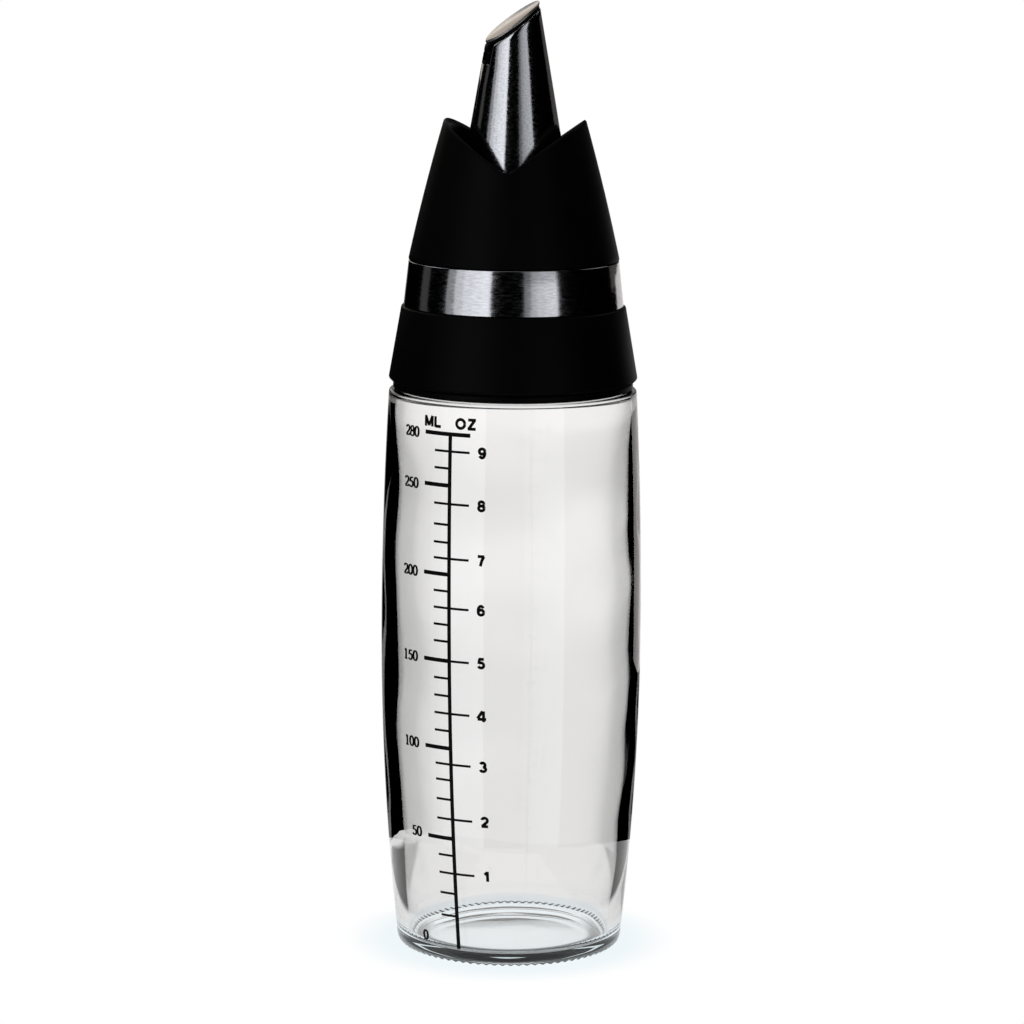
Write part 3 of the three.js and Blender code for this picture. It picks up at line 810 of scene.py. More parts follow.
class CRUET_OT_bottle(bpy.types.Operator):
    """Blow the glass bottle, with its thread, its wavy inner wall and the ribs under its foot"""

    bl_idname = "cruet.bottle"
    bl_label = "Bottle"

    def outline(self):
        wall_bottom = GLASS_FLOOR + INNER_HEEL
        shoulder_centre = (barrel(WALL_TOP, GLASS_WALL) - INNER_SHOULDER, WALL_TOP)
        heel_centre = (barrel(wall_bottom, GLASS_WALL) - INNER_HEEL, wall_bottom)
        underside = [(BEARING_INNER * t, PUSH_UP * (1 - t ** 2)) for t in steps(0, 1, 16)]
        bearing = [(radius, 0) for radius in steps(BEARING_INNER, BEARING_FLAT, 6)][1:]
        heel = []
        for t in steps(0, 1, 9):
            heel.append((BEARING_OUTER + (FOOT_RADIUS - BEARING_OUTER) * t * (2 - t), FOOT_HEIGHT * t ** 2))
        side = [(barrel(z), z) for z in steps(FOOT_HEIGHT, SIDE_TOP, 28)][1:]
        shoulder = arc((SHOULDER_RADIUS - SHOULDER_ROUND, SIDE_TOP), SHOULDER_ROUND, 0, 90, 6)
        collar = rounded([
            (SHOULDER_RADIUS, SHOULDER, 0),
            (COLLAR_RADIUS, SHOULDER, COLLAR_EASE),
            (COLLAR_RADIUS, COLLAR_TOP, COLLAR_EASE),
            (NECK_RADIUS, NECK_BOTTOM, NECK_EASE),
            (NECK_RADIUS, LIP, 0),
        ])[1:-1]
        neck = [(NECK_RADIUS, z) for z in steps(NECK_BOTTOM + NECK_EASE / 2, LIP - LIP_ROUND, 34)][1:-1]
        lip = arc((NECK_RADIUS - LIP_ROUND, LIP - LIP_ROUND), LIP_ROUND, 0, 90, 5)
        lip += arc((MOUTH_RADIUS + LIP_ROUND, LIP - LIP_ROUND), LIP_ROUND, 90, 180, 5)
        throat = rounded([
            (MOUTH_RADIUS, LIP, 0),
            (MOUTH_RADIUS, INNER_SLANT - MOUTH_RADIUS, THROAT_EASE),
            (SHOULDER_RADIUS, INNER_SLANT - SHOULDER_RADIUS, 0),
        ])[1:-1]
        inner_shoulder = arc(shoulder_centre, INNER_SHOULDER, 45, 0, 8)
        inner_side = [(barrel(z, GLASS_WALL), z) for z in steps(WALL_TOP, wall_bottom, 48)][1:-1]
        inner_heel = arc(heel_centre, INNER_HEEL, 0, -90, 12)
        outside = underside + bearing + heel + side + shoulder[1:] + collar + neck
        inside = lip + throat + inner_shoulder + inner_side + inner_heel
        return outside + inside + [(0, GLASS_FLOOR)]

    def wander(self, settings, angle, height):
        """How far the inner wall stands out: it waves, lies off the axis and is thin near the top."""
        fade_in = max(0, (height - WAVE_START) / WAVE_FADE_IN)
        fade_out = max(0, (THROAT_BOTTOM - height) / WAVE_FADE_OUT)
        slow = math.sin(FULL_TURN * height / SLOW_WAVE + math.cos(angle - 0.3) + 0.6)
        quick = math.sin(FULL_TURN * height / QUICK_WAVE + 2 * angle + 0.4)
        small = math.sin(FULL_TURN * height / SMALL_WAVE - 3 * angle + 1.9)
        wave = settings.wave * (0.55 * slow + 0.3 * quick + 0.15 * small)
        upper = math.exp(-(((height - THIN_HEIGHT) / THIN_SPREAD) ** 2))
        shift = settings.shift * math.cos(angle - SHIFT_ANGLE)
        return min(1, fade_in, fade_out) * (wave + upper * settings.thin - (1 - upper) * shift) / MM

    def execute(self, context):
        settings = context.scene.cruet.glass
        bm = turned(self.outline(), settings.teeth * TOOTH_STEPS)
        for vert in bm.verts:
            x, y, z = vert.co
            radius = math.hypot(x, y)
            angle = math.atan2(y, x)
            if radius < SAME_LINE:
                continue
            grown = radius
            inner_edge = min(barrel(z) - GLASS_WALL / 2, INNER_SLANT - z + SLANT_ROOM)
            if z > GLASS_FLOOR + INNER_HEEL and MOUTH_RADIUS < radius < inner_edge:
                grown += self.wander(settings, angle, z)
            if abs(radius - NECK_RADIUS) < SAME_LINE:
                grown += settings.thread / MM * thread_height(angle, z, NECK_THREAD_START)
            if z < RIB_HEIGHT and radius > BEARING_OUTER - RIB_REACH:
                rib = 0.5 - 0.5 * math.cos(settings.teeth * angle)
                fade = min(1, (radius - BEARING_OUTER) / RIB_REACH + 1) * (1 - z / RIB_HEIGHT)
                vert.co.z += settings.tooth / MM * rib * fade
            vert.co.x *= grown / radius
            vert.co.y *= grown / radius
        material = glass_finish(settings)
        piece = finished("glass_bottle", bm, material, "bottle", ["bottle"], crease=60)
        piece.visible_shadow = False
        return {"FINISHED"}


class CRUET_OT_scale(bpy.types.Operator):
    """Print the millilitre and ounce scale on the glass"""

    bl_idname = "cruet.scale"
    bl_label = "Printed scale"

    def height_of(self, volume):
        """Where a volume in millilitres stands, between the marks whose heights are known."""
        marks = sorted(MARK_HEIGHTS)
        upper = next(mark for mark in marks[1:] if volume <= mark)
        lower = marks[marks.index(upper) - 1]
        part = (volume - lower) / (upper - lower)
        return MARK_HEIGHTS[lower] + part * (MARK_HEIGHTS[upper] - MARK_HEIGHTS[lower])

    def bar(self, bm, left, right, bottom, top):
        place = Matrix.Translation(((left + right) / 2, (bottom + top) / 2, 0))
        size = Matrix.Diagonal((right - left, top - bottom, 1, 1))
        bmesh.ops.create_grid(bm, x_segments=1, y_segments=1, size=0.5, matrix=place @ size)

    def tick(self, bm, left, right, height, width):
        self.bar(bm, left, right, height - width / 2, height + width / 2)

    def sans_strokes(self, letter):
        """The strokes of a sans letter between the middle lines of a box one wide and one high."""
        if letter == "1":
            return [[(0.62, 1.1), (0.62, -0.1)], [(0.62, 1), (0.1, 0.7)]]
        if letter == "2":
            return [oval((0.5, 0.7), 0.5, 0.3, 170, -40) + [(0, 0)], [(-0.1, 0), (1.1, 0)]]
        if letter == "3":
            return [oval((0.47, 0.75), 0.43, 0.25, 160, -90), oval((0.5, 0.26), 0.5, 0.26, 90, -165)]
        if letter == "4":
            slant = [(0.62, 1.1), (-0.18, 0.22)]
            return [[(0.76, 1.1), (0.76, -0.15)], [(-0.15, 0.16), (1.15, 0.16)], slant]
        if letter == "5":
            return [[(1, 1), (0.1, 1)], [(0.2, 1.05), (0.08, 0.45)], oval((0.46, 0.3), 0.5, 0.3, 140, -160)]
        if letter == "6":
            return [oval((0.5, 0.29), 0.5, 0.29, 0, 360), oval((0.5, 0.5), 0.5, 0.5, 35, 190)]
        if letter == "7":
            return [[(-0.1, 1), (1.1, 1)], [(1, 1), (0.62, 0.5), (0.38, -0.1)]]
        if letter == "8":
            return [oval((0.5, 0.75), 0.43, 0.25, 0, 360), oval((0.5, 0.25), 0.5, 0.27, 0, 360)]
        if letter == "9":
            return [oval((0.5, 0.71), 0.5, 0.29, 0, 360), oval((0.5, 0.5), 0.5, 0.5, 215, 370)]
        if letter == "M":
            slants = [[(0, 1.1), (0.5, 0)], [(0.5, 0), (1, 1.1)]]
            return [[(0, -0.1), (0, 1.1)], *slants, [(1, 1.1), (1, -0.1)]]
        if letter == "L":
            return [[(0, 1.1), (0, -0.1)], [(0, 0), (1.1, 0)]]
        if letter == "O":
            return [oval((0.5, 0.5), 0.5, 0.5, 0, 360)]
        return [[(-0.05, 1), (1.1, 1)], [(1, 1.05), (0, -0.05)], [(-0.1, 0), (1.1, 0)]]

    def lettering(self, bm, text, middle, bottom):
        """Bold sans lettering about a middle."""
        widths = [SANS_WIDTHS.get(letter, SANS_WIDTH) for letter in text]
        left = middle - (sum(widths) + SANS_GAP * (len(text) - 1)) / 2
        for letter, width in zip(text, widths):
            for points in self.sans_strokes(letter):
                placed = []
                for x, y in points:
                    across = left + SANS_PEN / 2 + x * (width - SANS_PEN)
                    placed.append((across, bottom + SANS_PEN / 2 + y * (SANS_HEIGHT - SANS_PEN)))
                self.stroke(bm, placed, SANS_PEN, SANS_PEN)
            left += width + SANS_GAP

    def pen_strokes(self, digit):
        """The strokes of a narrow serif digit in a box one wide and one high."""
        if digit == "0":
            return [oval((0.5, 0.5), 0.38, 0.47, 90, 450)]
        if digit == "1":
            return [[(0.5, 1), (0.5, 0)], [(0.5, 0.97), (0.2, 0.85)], [(0.2, 0.03), (0.8, 0.03)]]
        if digit == "2":
            sweep = oval((0.47, 0.7), 0.36, 0.27, 165, -35)
            return [sweep + [(0.12, 0.06)], [(0.1, 0.05), (0.86, 0.05)], [(0.84, 0.05), (0.92, 0.22)]]
        if digit == "5":
            bowl = oval((0.44, 0.31), 0.4, 0.28, 120, -150)
            return [[(0.88, 0.94), (0.28, 0.94)], [(0.3, 0.95), (0.24, 0.5)] + bowl]
        return [oval((0.5, 0.74), 0.31, 0.22, 90, 450), oval((0.5, 0.27), 0.38, 0.24, 90, 450)]

    def stroke(self, bm, points, thick, thin):
        """A pen stroke that is thick where it runs up and down and thin where it runs across."""
        verts = [bm.verts.new((x, y, 0)) for x, y in points]
        edges = [bm.edges.new(pair) for pair in zip(verts, verts[1:])]
        bmesh.ops.extrude_edge_only(bm, edges=edges)
        last = len(verts) - 1
        for i, vert in enumerate(verts):
            between = next(edge for edge in vert.link_edges if edge.calc_length() < SAME_POINT)
            twin = between.other_vert(vert)
            ahead = Vector(points[min(i + 1, last)]) - Vector(points[max(i - 1, 0)])
            ahead.normalize()
            half = (thin + (thick - thin) * abs(ahead.y)) / 2
            side = Vector((-ahead.y, ahead.x, 0)) * half
            twin.co += side
            vert.co -= side

    def number(self, bm, text, right, middle):
        """Narrow serif digits that end at the right. Their column is a little flatter than the marks."""
        left = right - NUMBER_WIDTH * len(text)
        bottom = middle - NUMBER_HEIGHT / 2 - NUMBER_LEAN * (middle - MARK_HEIGHTS[100])
        for i, digit in enumerate(text):
            for points in self.pen_strokes(digit):
                placed = []
                for x, y in points:
                    placed.append((left + (i + x) * NUMBER_WIDTH, bottom + y * NUMBER_HEIGHT))
                self.stroke(bm, placed, NUMBER_PEN, NUMBER_HAIR)

    def marks(self, bm):
        top_mark = max(MARK_HEIGHTS)
        half_line = LINE_WIDTH / 2
        for volume in range(MILLILITRE_STEP, top_mark, MILLILITRE_STEP):
            height = self.height_of(volume)
            bold = volume % BOLD_STEP == 0
            width = BOLD_WIDTH if bold else TICK_WIDTH
            self.tick(bm, -BOLD_REACH if bold else -TICK_REACH, -half_line, height, width)
            if bold:
                self.number(bm, str(volume), MILLILITRE_EDGE, height + NUMBER_RAISE)
            if volume % OUNCE_STEP == 0:
                self.tick(bm, half_line, OUNCE_REACH, height, TICK_WIDTH)
                bottom = height - SANS_HEIGHT / 2 + OUNCE_RAISE
                self.lettering(bm, str(volume // OUNCE_STEP), OUNCE_MIDDLE, bottom)
        top = self.height_of(top_mark)
        self.bar(bm, -half_line, half_line, SCALE_BOTTOM, top - BOLD_WIDTH / 2)
        self.tick(bm, -BOLD_REACH, BAR_REACH, top, BOLD_WIDTH)
        self.number(bm, str(top_mark), MILLILITRE_EDGE, top + TOP_NUMBER_RAISE)
        self.number(bm, "0", ZERO_EDGE, ZERO_HEIGHT)
        self.lettering(bm, "ML", ML_MIDDLE, UNIT_HEIGHT - SANS_HEIGHT / 2)
        self.lettering(bm, "OZ", OZ_MIDDLE, UNIT_HEIGHT - SANS_HEIGHT / 2)

    def cut(self, bm, places, normal):
        """Cuts the flat print along lines, so that it has edges to bend at."""
        for place in places:
            geometry = bm.verts[:] + bm.edges[:] + bm.faces[:]
            bmesh.ops.bisect_plane(bm, geom=geometry, plane_co=place * normal, plane_no=normal)

    def execute(self, context):
        settings = context.scene.cruet.scale
        bm = bmesh.new()
        self.marks(bm)
        self.cut(bm, UPRIGHT_CUTS, Vector((1, 0, 0)))
        self.cut(bm, LEVEL_CUTS, Vector((0, 1, 0)))
        bmesh.ops.remove_doubles(bm, verts=bm.verts, dist=SAME_POINT)
        raised = bmesh.ops.extrude_face_region(bm, geom=bm.faces[:])["geom"]
        upper = [item for item in raised if isinstance(item, bmesh.types.BMVert)]
        bmesh.ops.translate(bm, vec=(0, 0, INK_THICKNESS), verts=upper)
        bmesh.ops.recalc_face_normals(bm, faces=bm.faces)
        for vert in bm.verts:
            across, height, lift = vert.co
            radius = barrel(min(height, SIDE_TOP))
            across -= (height - BELLY_HEIGHT) * math.tan(settings.lean)
            angle = settings.azimuth + across / radius
            radius += lift + INK_LIFT
            vert.co = (radius * math.sin(angle), -radius * math.cos(angle), height)
        finished("scale_print", bm, ink_finish(settings), "bottle")
        return {"FINISHED"}


class CRUET_OT_mouldings(bpy.types.Operator):
    """Mould the inner cap, the skirt and the hood with its V cuts"""

    bl_idname = "cruet.mouldings"
    bl_label = "Black mouldings"

    def inner_cap(self, material):
        outline = rounded([
            (CAP_BORE, CAP_SLANT - CAP_BORE, CAP_EASE),
            (CAP_RIM_BORE, CAP_SLANT - CAP_RIM_BORE, CAP_EASE),
            (CAP_RIM_BORE, CAP_LOW.z, CAP_EASE),
            (CAP_RIM_RADIUS, CAP_LOW.z, WIDE_EASE),
            (CAP_RIM_RADIUS, CAP_RIM_TOP, CAP_EASE),
            (BELL_SLANT - CAP_RIM_TOP, CAP_RIM_TOP, CAP_EASE),
            (CAP_SLEEVE, BELL_SLANT - CAP_SLEEVE, CAP_EASE),
            (CAP_SLEEVE, DECK_TOP, CAP_EASE),
            (SNAP_RING, DECK_TOP, CAP_EASE),
            (SNAP_RING, SNAP_BEAD_HEIGHT - SNAP_BEAD_HALF, 0),
            (SNAP_RING + SNAP_BEAD, SNAP_BEAD_HEIGHT, EASE),
            (SNAP_RING, SNAP_BEAD_HEIGHT + SNAP_BEAD_HALF, 0),
            (SNAP_RING, CAP_HIGH.z, CAP_EASE),
            (SNAP_RING_BORE, CAP_HIGH.z, CAP_EASE),
            (SNAP_RING_BORE, DECK_TOP, CAP_EASE),
            (DECK_HOLE, DECK_TOP, CAP_EASE),
            (DECK_HOLE, DECK_BOTTOM, CAP_EASE),
            (CAP_BORE, DECK_BOTTOM, CAP_EASE),
        ])
        bore_bottom = CAP_SLANT - CAP_BORE + CAP_EASE
        bore = [(CAP_BORE, z) for z in steps(DECK_BOTTOM - CAP_EASE, bore_bottom, 40)][1:-1]
        bm = turned(outline + bore, ROUND_SEGMENTS)
        depth = bpy.context.scene.cruet.glass.thread / MM
        for vert in bm.verts:
            radius = math.hypot(vert.co.x, vert.co.y)
            if abs(radius - CAP_BORE) < SAME_LINE:
                angle = math.atan2(vert.co.y, vert.co.x)
                shrunk = 1 - depth * thread_height(angle, vert.co.z, CAP_THREAD_START) / radius
                vert.co.x *= shrunk
                vert.co.y *= shrunk
        finished("cap_moulding", bm, material, "cap", ["inner_cap"])

    def skirt(self, settings, material):
        edge = settings.edge / MM
        radius = SKIRT_HIGH.x
        lip_bottom = SKIRT_HIGH.z - SKIRT_LIP_THICKNESS
        outline = rounded([
            (radius - SKIRT_WALL, SKIRT_LOW.z, EASE),
            (radius - SKIRT_CHAMFER, SKIRT_LOW.z, EASE),
            (radius, SKIRT_LOW.z + SKIRT_CHAMFER, CHAMFER_EASE),
            (SKIRT_TOP_RADIUS, SKIRT_HIGH.z, edge),
            (SKIRT_LIP_BORE, SKIRT_HIGH.z, EASE),
            (SKIRT_LIP_BORE, lip_bottom, EASE),
            (SKIRT_TOP_RADIUS - SKIRT_WALL + EASE, lip_bottom, EASE),
        ])
        bm = turned(outline, ROUND_SEGMENTS)
        finished("skirt_moulding", bm, material, "cap", ["skirt"])

    def hood_outline(self):
        sleeve_bottom = FLANGE_TOP + SEAT_GAP
        hold_down = HOLD_DOWN_GAP + HOLD_DOWN_WALL
        band_inset = BAND_THICKNESS + SEAT_GAP
        outside = [(hood_side(z), z) for z in steps(HOOD_BOTTOM + WIDE_EASE, HOOD_TOP, 30)]
        inside = [(hood_side(z) - HOOD_WALL, z) for z in steps(HOOD_TOP, HOOD_FLOOR_TOP, 26)]
        below = rounded([
            (spout_side(HOOD_FLOOR_TOP) + HOLD_DOWN_GAP, HOOD_FLOOR_TOP, WIDE_EASE),
            (spout_side(sleeve_bottom) + HOLD_DOWN_GAP, sleeve_bottom, WIDE_EASE),
            (spout_side(sleeve_bottom) + hold_down, sleeve_bottom, WIDE_EASE),
            (spout_side(HOOD_FLOOR_BOTTOM) + hold_down, HOOD_FLOOR_BOTTOM, WIDE_EASE),
            (SPIGOT_BORE, HOOD_FLOOR_BOTTOM, WIDE_EASE),
            (SPIGOT_BORE, SNAP_BEAD_HEIGHT + SNAP_BEAD_HALF, 0),
            (SPIGOT_BORE + SNAP_BEAD, SNAP_BEAD_HEIGHT, 0),
            (SPIGOT_BORE, SNAP_BEAD_HEIGHT - SNAP_BEAD_HALF, 0),
            (SPIGOT_BORE, SPIGOT_BOTTOM, EASE),
            (SPIGOT_RADIUS, SPIGOT_BOTTOM, EASE),
            (SPIGOT_RADIUS, BAND_LOW.z, 0),
            (BAND_HIGH.x - band_inset, BAND_LOW.z, EASE),
            (BAND_TOP_RADIUS - band_inset, BAND_HIGH.z, 0),
            (BAND_TOP_RADIUS - band_inset, HOOD_BOTTOM, EASE),
            (HOOD_RADIUS - WIDE_EASE, HOOD_BOTTOM, 0),
            (HOOD_RADIUS - FINE_EASE, HOOD_BOTTOM + FINE_EASE, 0),
        ])
        return outside + inside + below

    def rim_height(self, angle, inset):
        """Where the V cut meets the hood's wall, at an angle from a peak."""
        height = V_BOTTOM
        for _ in range(RIM_ROUNDS):
            off_middle = (hood_side(height) - inset) * math.cos(angle)
            height = V_BOTTOM + V_SLOPE * (math.hypot(off_middle, V_ROUND) - V_ROUND)
        return min(height, HOOD_TOP)

    def hood(self, settings, material):
        bm = turned(self.hood_outline(), ROUND_SEGMENTS)
        rim = set()
        for vert in bm.verts:
            height = vert.co.z
            radius = math.hypot(vert.co.x, vert.co.y)
            inset = HOOD_WALL if radius < hood_side(height) - HOOD_WALL / 2 else 0
            if height <= HOOD_FLOOR_TOP or abs(radius - hood_side(height) + inset) > SAME_LINE:
                continue
            if height > HOOD_TOP - SAME_LINE:
                rim.add(vert)
            angle = math.atan2(vert.co.y, vert.co.x)
            part = (height - HOOD_FLOOR_TOP) / (HOOD_TOP - HOOD_FLOOR_TOP)
            height = HOOD_FLOOR_TOP + part * (self.rim_height(angle, inset) - HOOD_FLOOR_TOP)
            radius = hood_side(height) - inset
            vert.co = (radius * math.cos(angle), radius * math.sin(angle), height)
        longest = HOOD_WALL * 0.8
        lines = [edge for edge in bm.edges if set(edge.verts) <= rim and edge.calc_length() < longest]
        eased_edges(bm, lines, settings.edge / MM, count=3)
        bmesh.ops.rotate(bm, cent=(0, 0, 0), matrix=Matrix.Rotation(HOOD_TURN, 3, "Z"), verts=bm.verts)
        finished("hood_moulding", bm, material, "cap", ["hood"])

    def execute(self, context):
        settings = context.scene.cruet.pourer
        material = plastic_finish(settings, "black_plastic_satin", grain=5.0)
        self.inner_cap(material)
        self.skirt(settings, material)
        self.hood(settings, material)
        return {"FINISHED"}


class CRUET_OT_steelwork(bpy.types.Operator):
    """Roll the steel band and the spout with its slanted mouth and hinge slot"""

    bl_idname = "cruet.steelwork"
    bl_label = "Band and spout"

    def band(self, material):
        outline = rounded([
            (BAND_HIGH.x - BAND_THICKNESS, BAND_LOW.z, FINE_EASE),
            (BAND_HIGH.x, BAND_LOW.z, EASE),
            (BAND_TOP_RADIUS, BAND_HIGH.z, EASE),
            (BAND_TOP_RADIUS - BAND_THICKNESS, BAND_HIGH.z, FINE_EASE),
        ])
        bm = turned(outline, ROUND_SEGMENTS)
        finished("band_steel", bm, material, "cap", ["steel_band"])

    def spout_outline(self):
        heights = steps(SPOUT_TIP, SLOT_BOTTOM, 8) + steps(SLOT_BOTTOM, CONE_FOOT, 12)[1:]
        outside = [(spout_side(z), z) for z in heights]
        inside = [(spout_side(z, SPOUT_WALL), z) for z in reversed(heights)]
        flange = rounded([
            outside[-1] + (0,),
            (SPOUT_RADIUS, FLANGE_TOP, WIDE_EASE),
            (FLANGE_RADIUS, FLANGE_TOP, EASE),
            (FLANGE_RADIUS, SPOUT_LOW.z, EASE),
            (SPOUT_RADIUS - SPOUT_WALL, SPOUT_LOW.z, EASE),
            inside[0] + (0,),
        ])
        return outside + flange[1:-1] + inside

    def slide(self, vert):
        """Moves a point along the cone, so that the mouth slants and the slot's sides are straight."""
        height = vert.co.z
        radius = math.hypot(vert.co.x, vert.co.y)
        inset = SPOUT_WALL if radius < spout_side(height, SPOUT_WALL / 2) else 0
        from_heel = math.atan2(abs(vert.co.y), -vert.co.x)
        side = -1 if vert.co.y < 0 else 1
        slot_angle = SLOT_COLUMNS * FULL_TURN / SPOUT_SEGMENTS
        column = round(from_heel * SPOUT_SEGMENTS / FULL_TURN)
        part = max(0, height - SLOT_BOTTOM) / (SPOUT_TIP - SLOT_BOTTOM)
        for _ in range(MOUTH_ROUNDS):
            edge = math.asin(SLOT_HALF_WIDTH / spout_side(height, inset))
            if column <= SLOT_COLUMNS:
                angle = from_heel * edge / slot_angle
            else:
                angle = edge + (from_heel - slot_angle) * (math.pi - edge) / (math.pi - slot_angle)
            if part > 0:
                height = SLOT_BOTTOM + part * (mouth_height(math.pi - angle, inset, 0) - SLOT_BOTTOM)
        radius = spout_side(height, inset)
        vert.co = (-radius * math.cos(angle), side * radius * math.sin(angle), height)

    def spout(self, material):
        bm = turned(self.spout_outline(), SPOUT_SEGMENTS, closed=False)
        for vert in bm.verts:
            if vert.co.z > CONE_FOOT - SAME_LINE:
                self.slide(vert)
        slot = []
        for face in bm.faces:
            middle = face.calc_center_median()
            if middle.x < 0 and abs(middle.y) < SLOT_HALF_WIDTH and middle.z > SLOT_BOTTOM:
                slot.append(face)
        bmesh.ops.delete(bm, geom=slot, context="FACES")
        rims = [edge for edge in bm.edges if edge.is_boundary]
        bmesh.ops.bridge_loops(bm, edges=rims)
        tidy(bm)
        sharp = []
        for edge in bm.edges:
            lowest = min(vert.co.z for vert in edge.verts)
            if edge.is_manifold and edge.calc_face_angle() > SPOUT_SHARP and lowest > CONE_FOOT:
                sharp.append(edge)
        eased_edges(bm, sharp, STEEL_EASE)
        finished("spout_steel", bm, material, "cap", ["spout"])

    def execute(self, context):
        material = turned_steel_finish(context.scene.cruet.pourer)
        self.band(material)
        self.spout(material)
        return {"FINISHED"}


class CRUET_OT_flap(bpy.types.Operator):
    """Cut the flap's plate and finish its liner and the hinge block"""

    bl_idname = "cruet.flap"
    bl_label = "Flap and hinge"

    def plate(self, material):
        bm = bmesh.new()
        bmesh.ops.create_circle(bm, cap_ends=True, cap_tris=False, segments=SPOUT_SEGMENTS, radius=1)
        lower = bm.verts[:]
        raised = bmesh.ops.extrude_face_region(bm, geom=bm.faces[:])["geom"]
        upper = [item for item in raised if isinstance(item, bmesh.types.BMVert)]
        for verts, lift in ((lower, PLATE_BOTTOM), (upper, PLATE_TOP)):
            for vert in verts:
                angle = math.atan2(vert.co.y, vert.co.x)
                height = mouth_height(angle, 0, lift)
                radius = spout_side(height)
                vert.co = (radius * math.cos(angle), radius * math.sin(angle), height)
        heel = MOUTH_TIP + MOUTH_ALONG * (HEEL_CUT - MOUTH_LENGTH)
        geometry = bm.verts[:] + bm.edges[:] + bm.faces[:]
        bmesh.ops.bisect_plane(bm, geom=geometry, plane_co=heel, plane_no=MOUTH_ALONG, clear_inner=True)
        bmesh.ops.holes_fill(bm, edges=[edge for edge in bm.edges if edge.is_boundary], sides=0)
        tidy(bm)
        eased_edges(bm, [edge for edge in bm.edges if edge.calc_face_angle() > PLATE_SHARP], STEEL_EASE)
        finished("flap_steel", bm, material, "flap", ["flap_plate"])

    def moulded_copy(self, node, name, body, material):
        """A solid of the frame with its flat faces joined and its edges eased."""
        bm = bmesh.new()
        bm.from_mesh(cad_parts[node].data)
        bmesh.ops.scale(bm, vec=(1 / MM,) * 3, verts=bm.verts)
        tidy(bm)
        bmesh.ops.dissolve_limit(bm, angle_limit=math.radians(1), verts=bm.verts, edges=bm.edges)
        sharp = [edge for edge in bm.edges if edge.is_manifold and edge.calc_face_angle() > HINGE_SHARP]
        eased_edges(bm, sharp, HINGE_EASE)
        finished(name, bm, material, body, [node])

    def execute(self, context):
        settings = context.scene.cruet.pourer
        material = plastic_finish(settings, "black_plastic_fine", grain=9.0)
        self.plate(plate_steel_finish(settings))
        self.moulded_copy("hinge_block", "hinge_moulding", "cap", material)
        self.moulded_copy("flap_liner", "liner_moulding", "flap", material)
        return {"FINISHED"}


class CRUET_OT_seals(bpy.types.Operator):
    """Finish the gasket, the spout's seal and the hinge pin, whose solids are kept"""

    bl_idname = "cruet.seals"
    bl_label = "Seals and pin"

    def dress(self, node, material):
        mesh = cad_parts[node].data
        mesh.materials.clear()
        mesh.materials.append(material)

    def execute(self, context):
        settings = context.scene.cruet.pourer
        silicone = silicone_finish(settings)
        self.dress("cap_gasket", silicone)
        self.dress("spout_seal", silicone)
        self.dress("hinge_pin", wire_finish(settings))
        return {"FINISHED"}


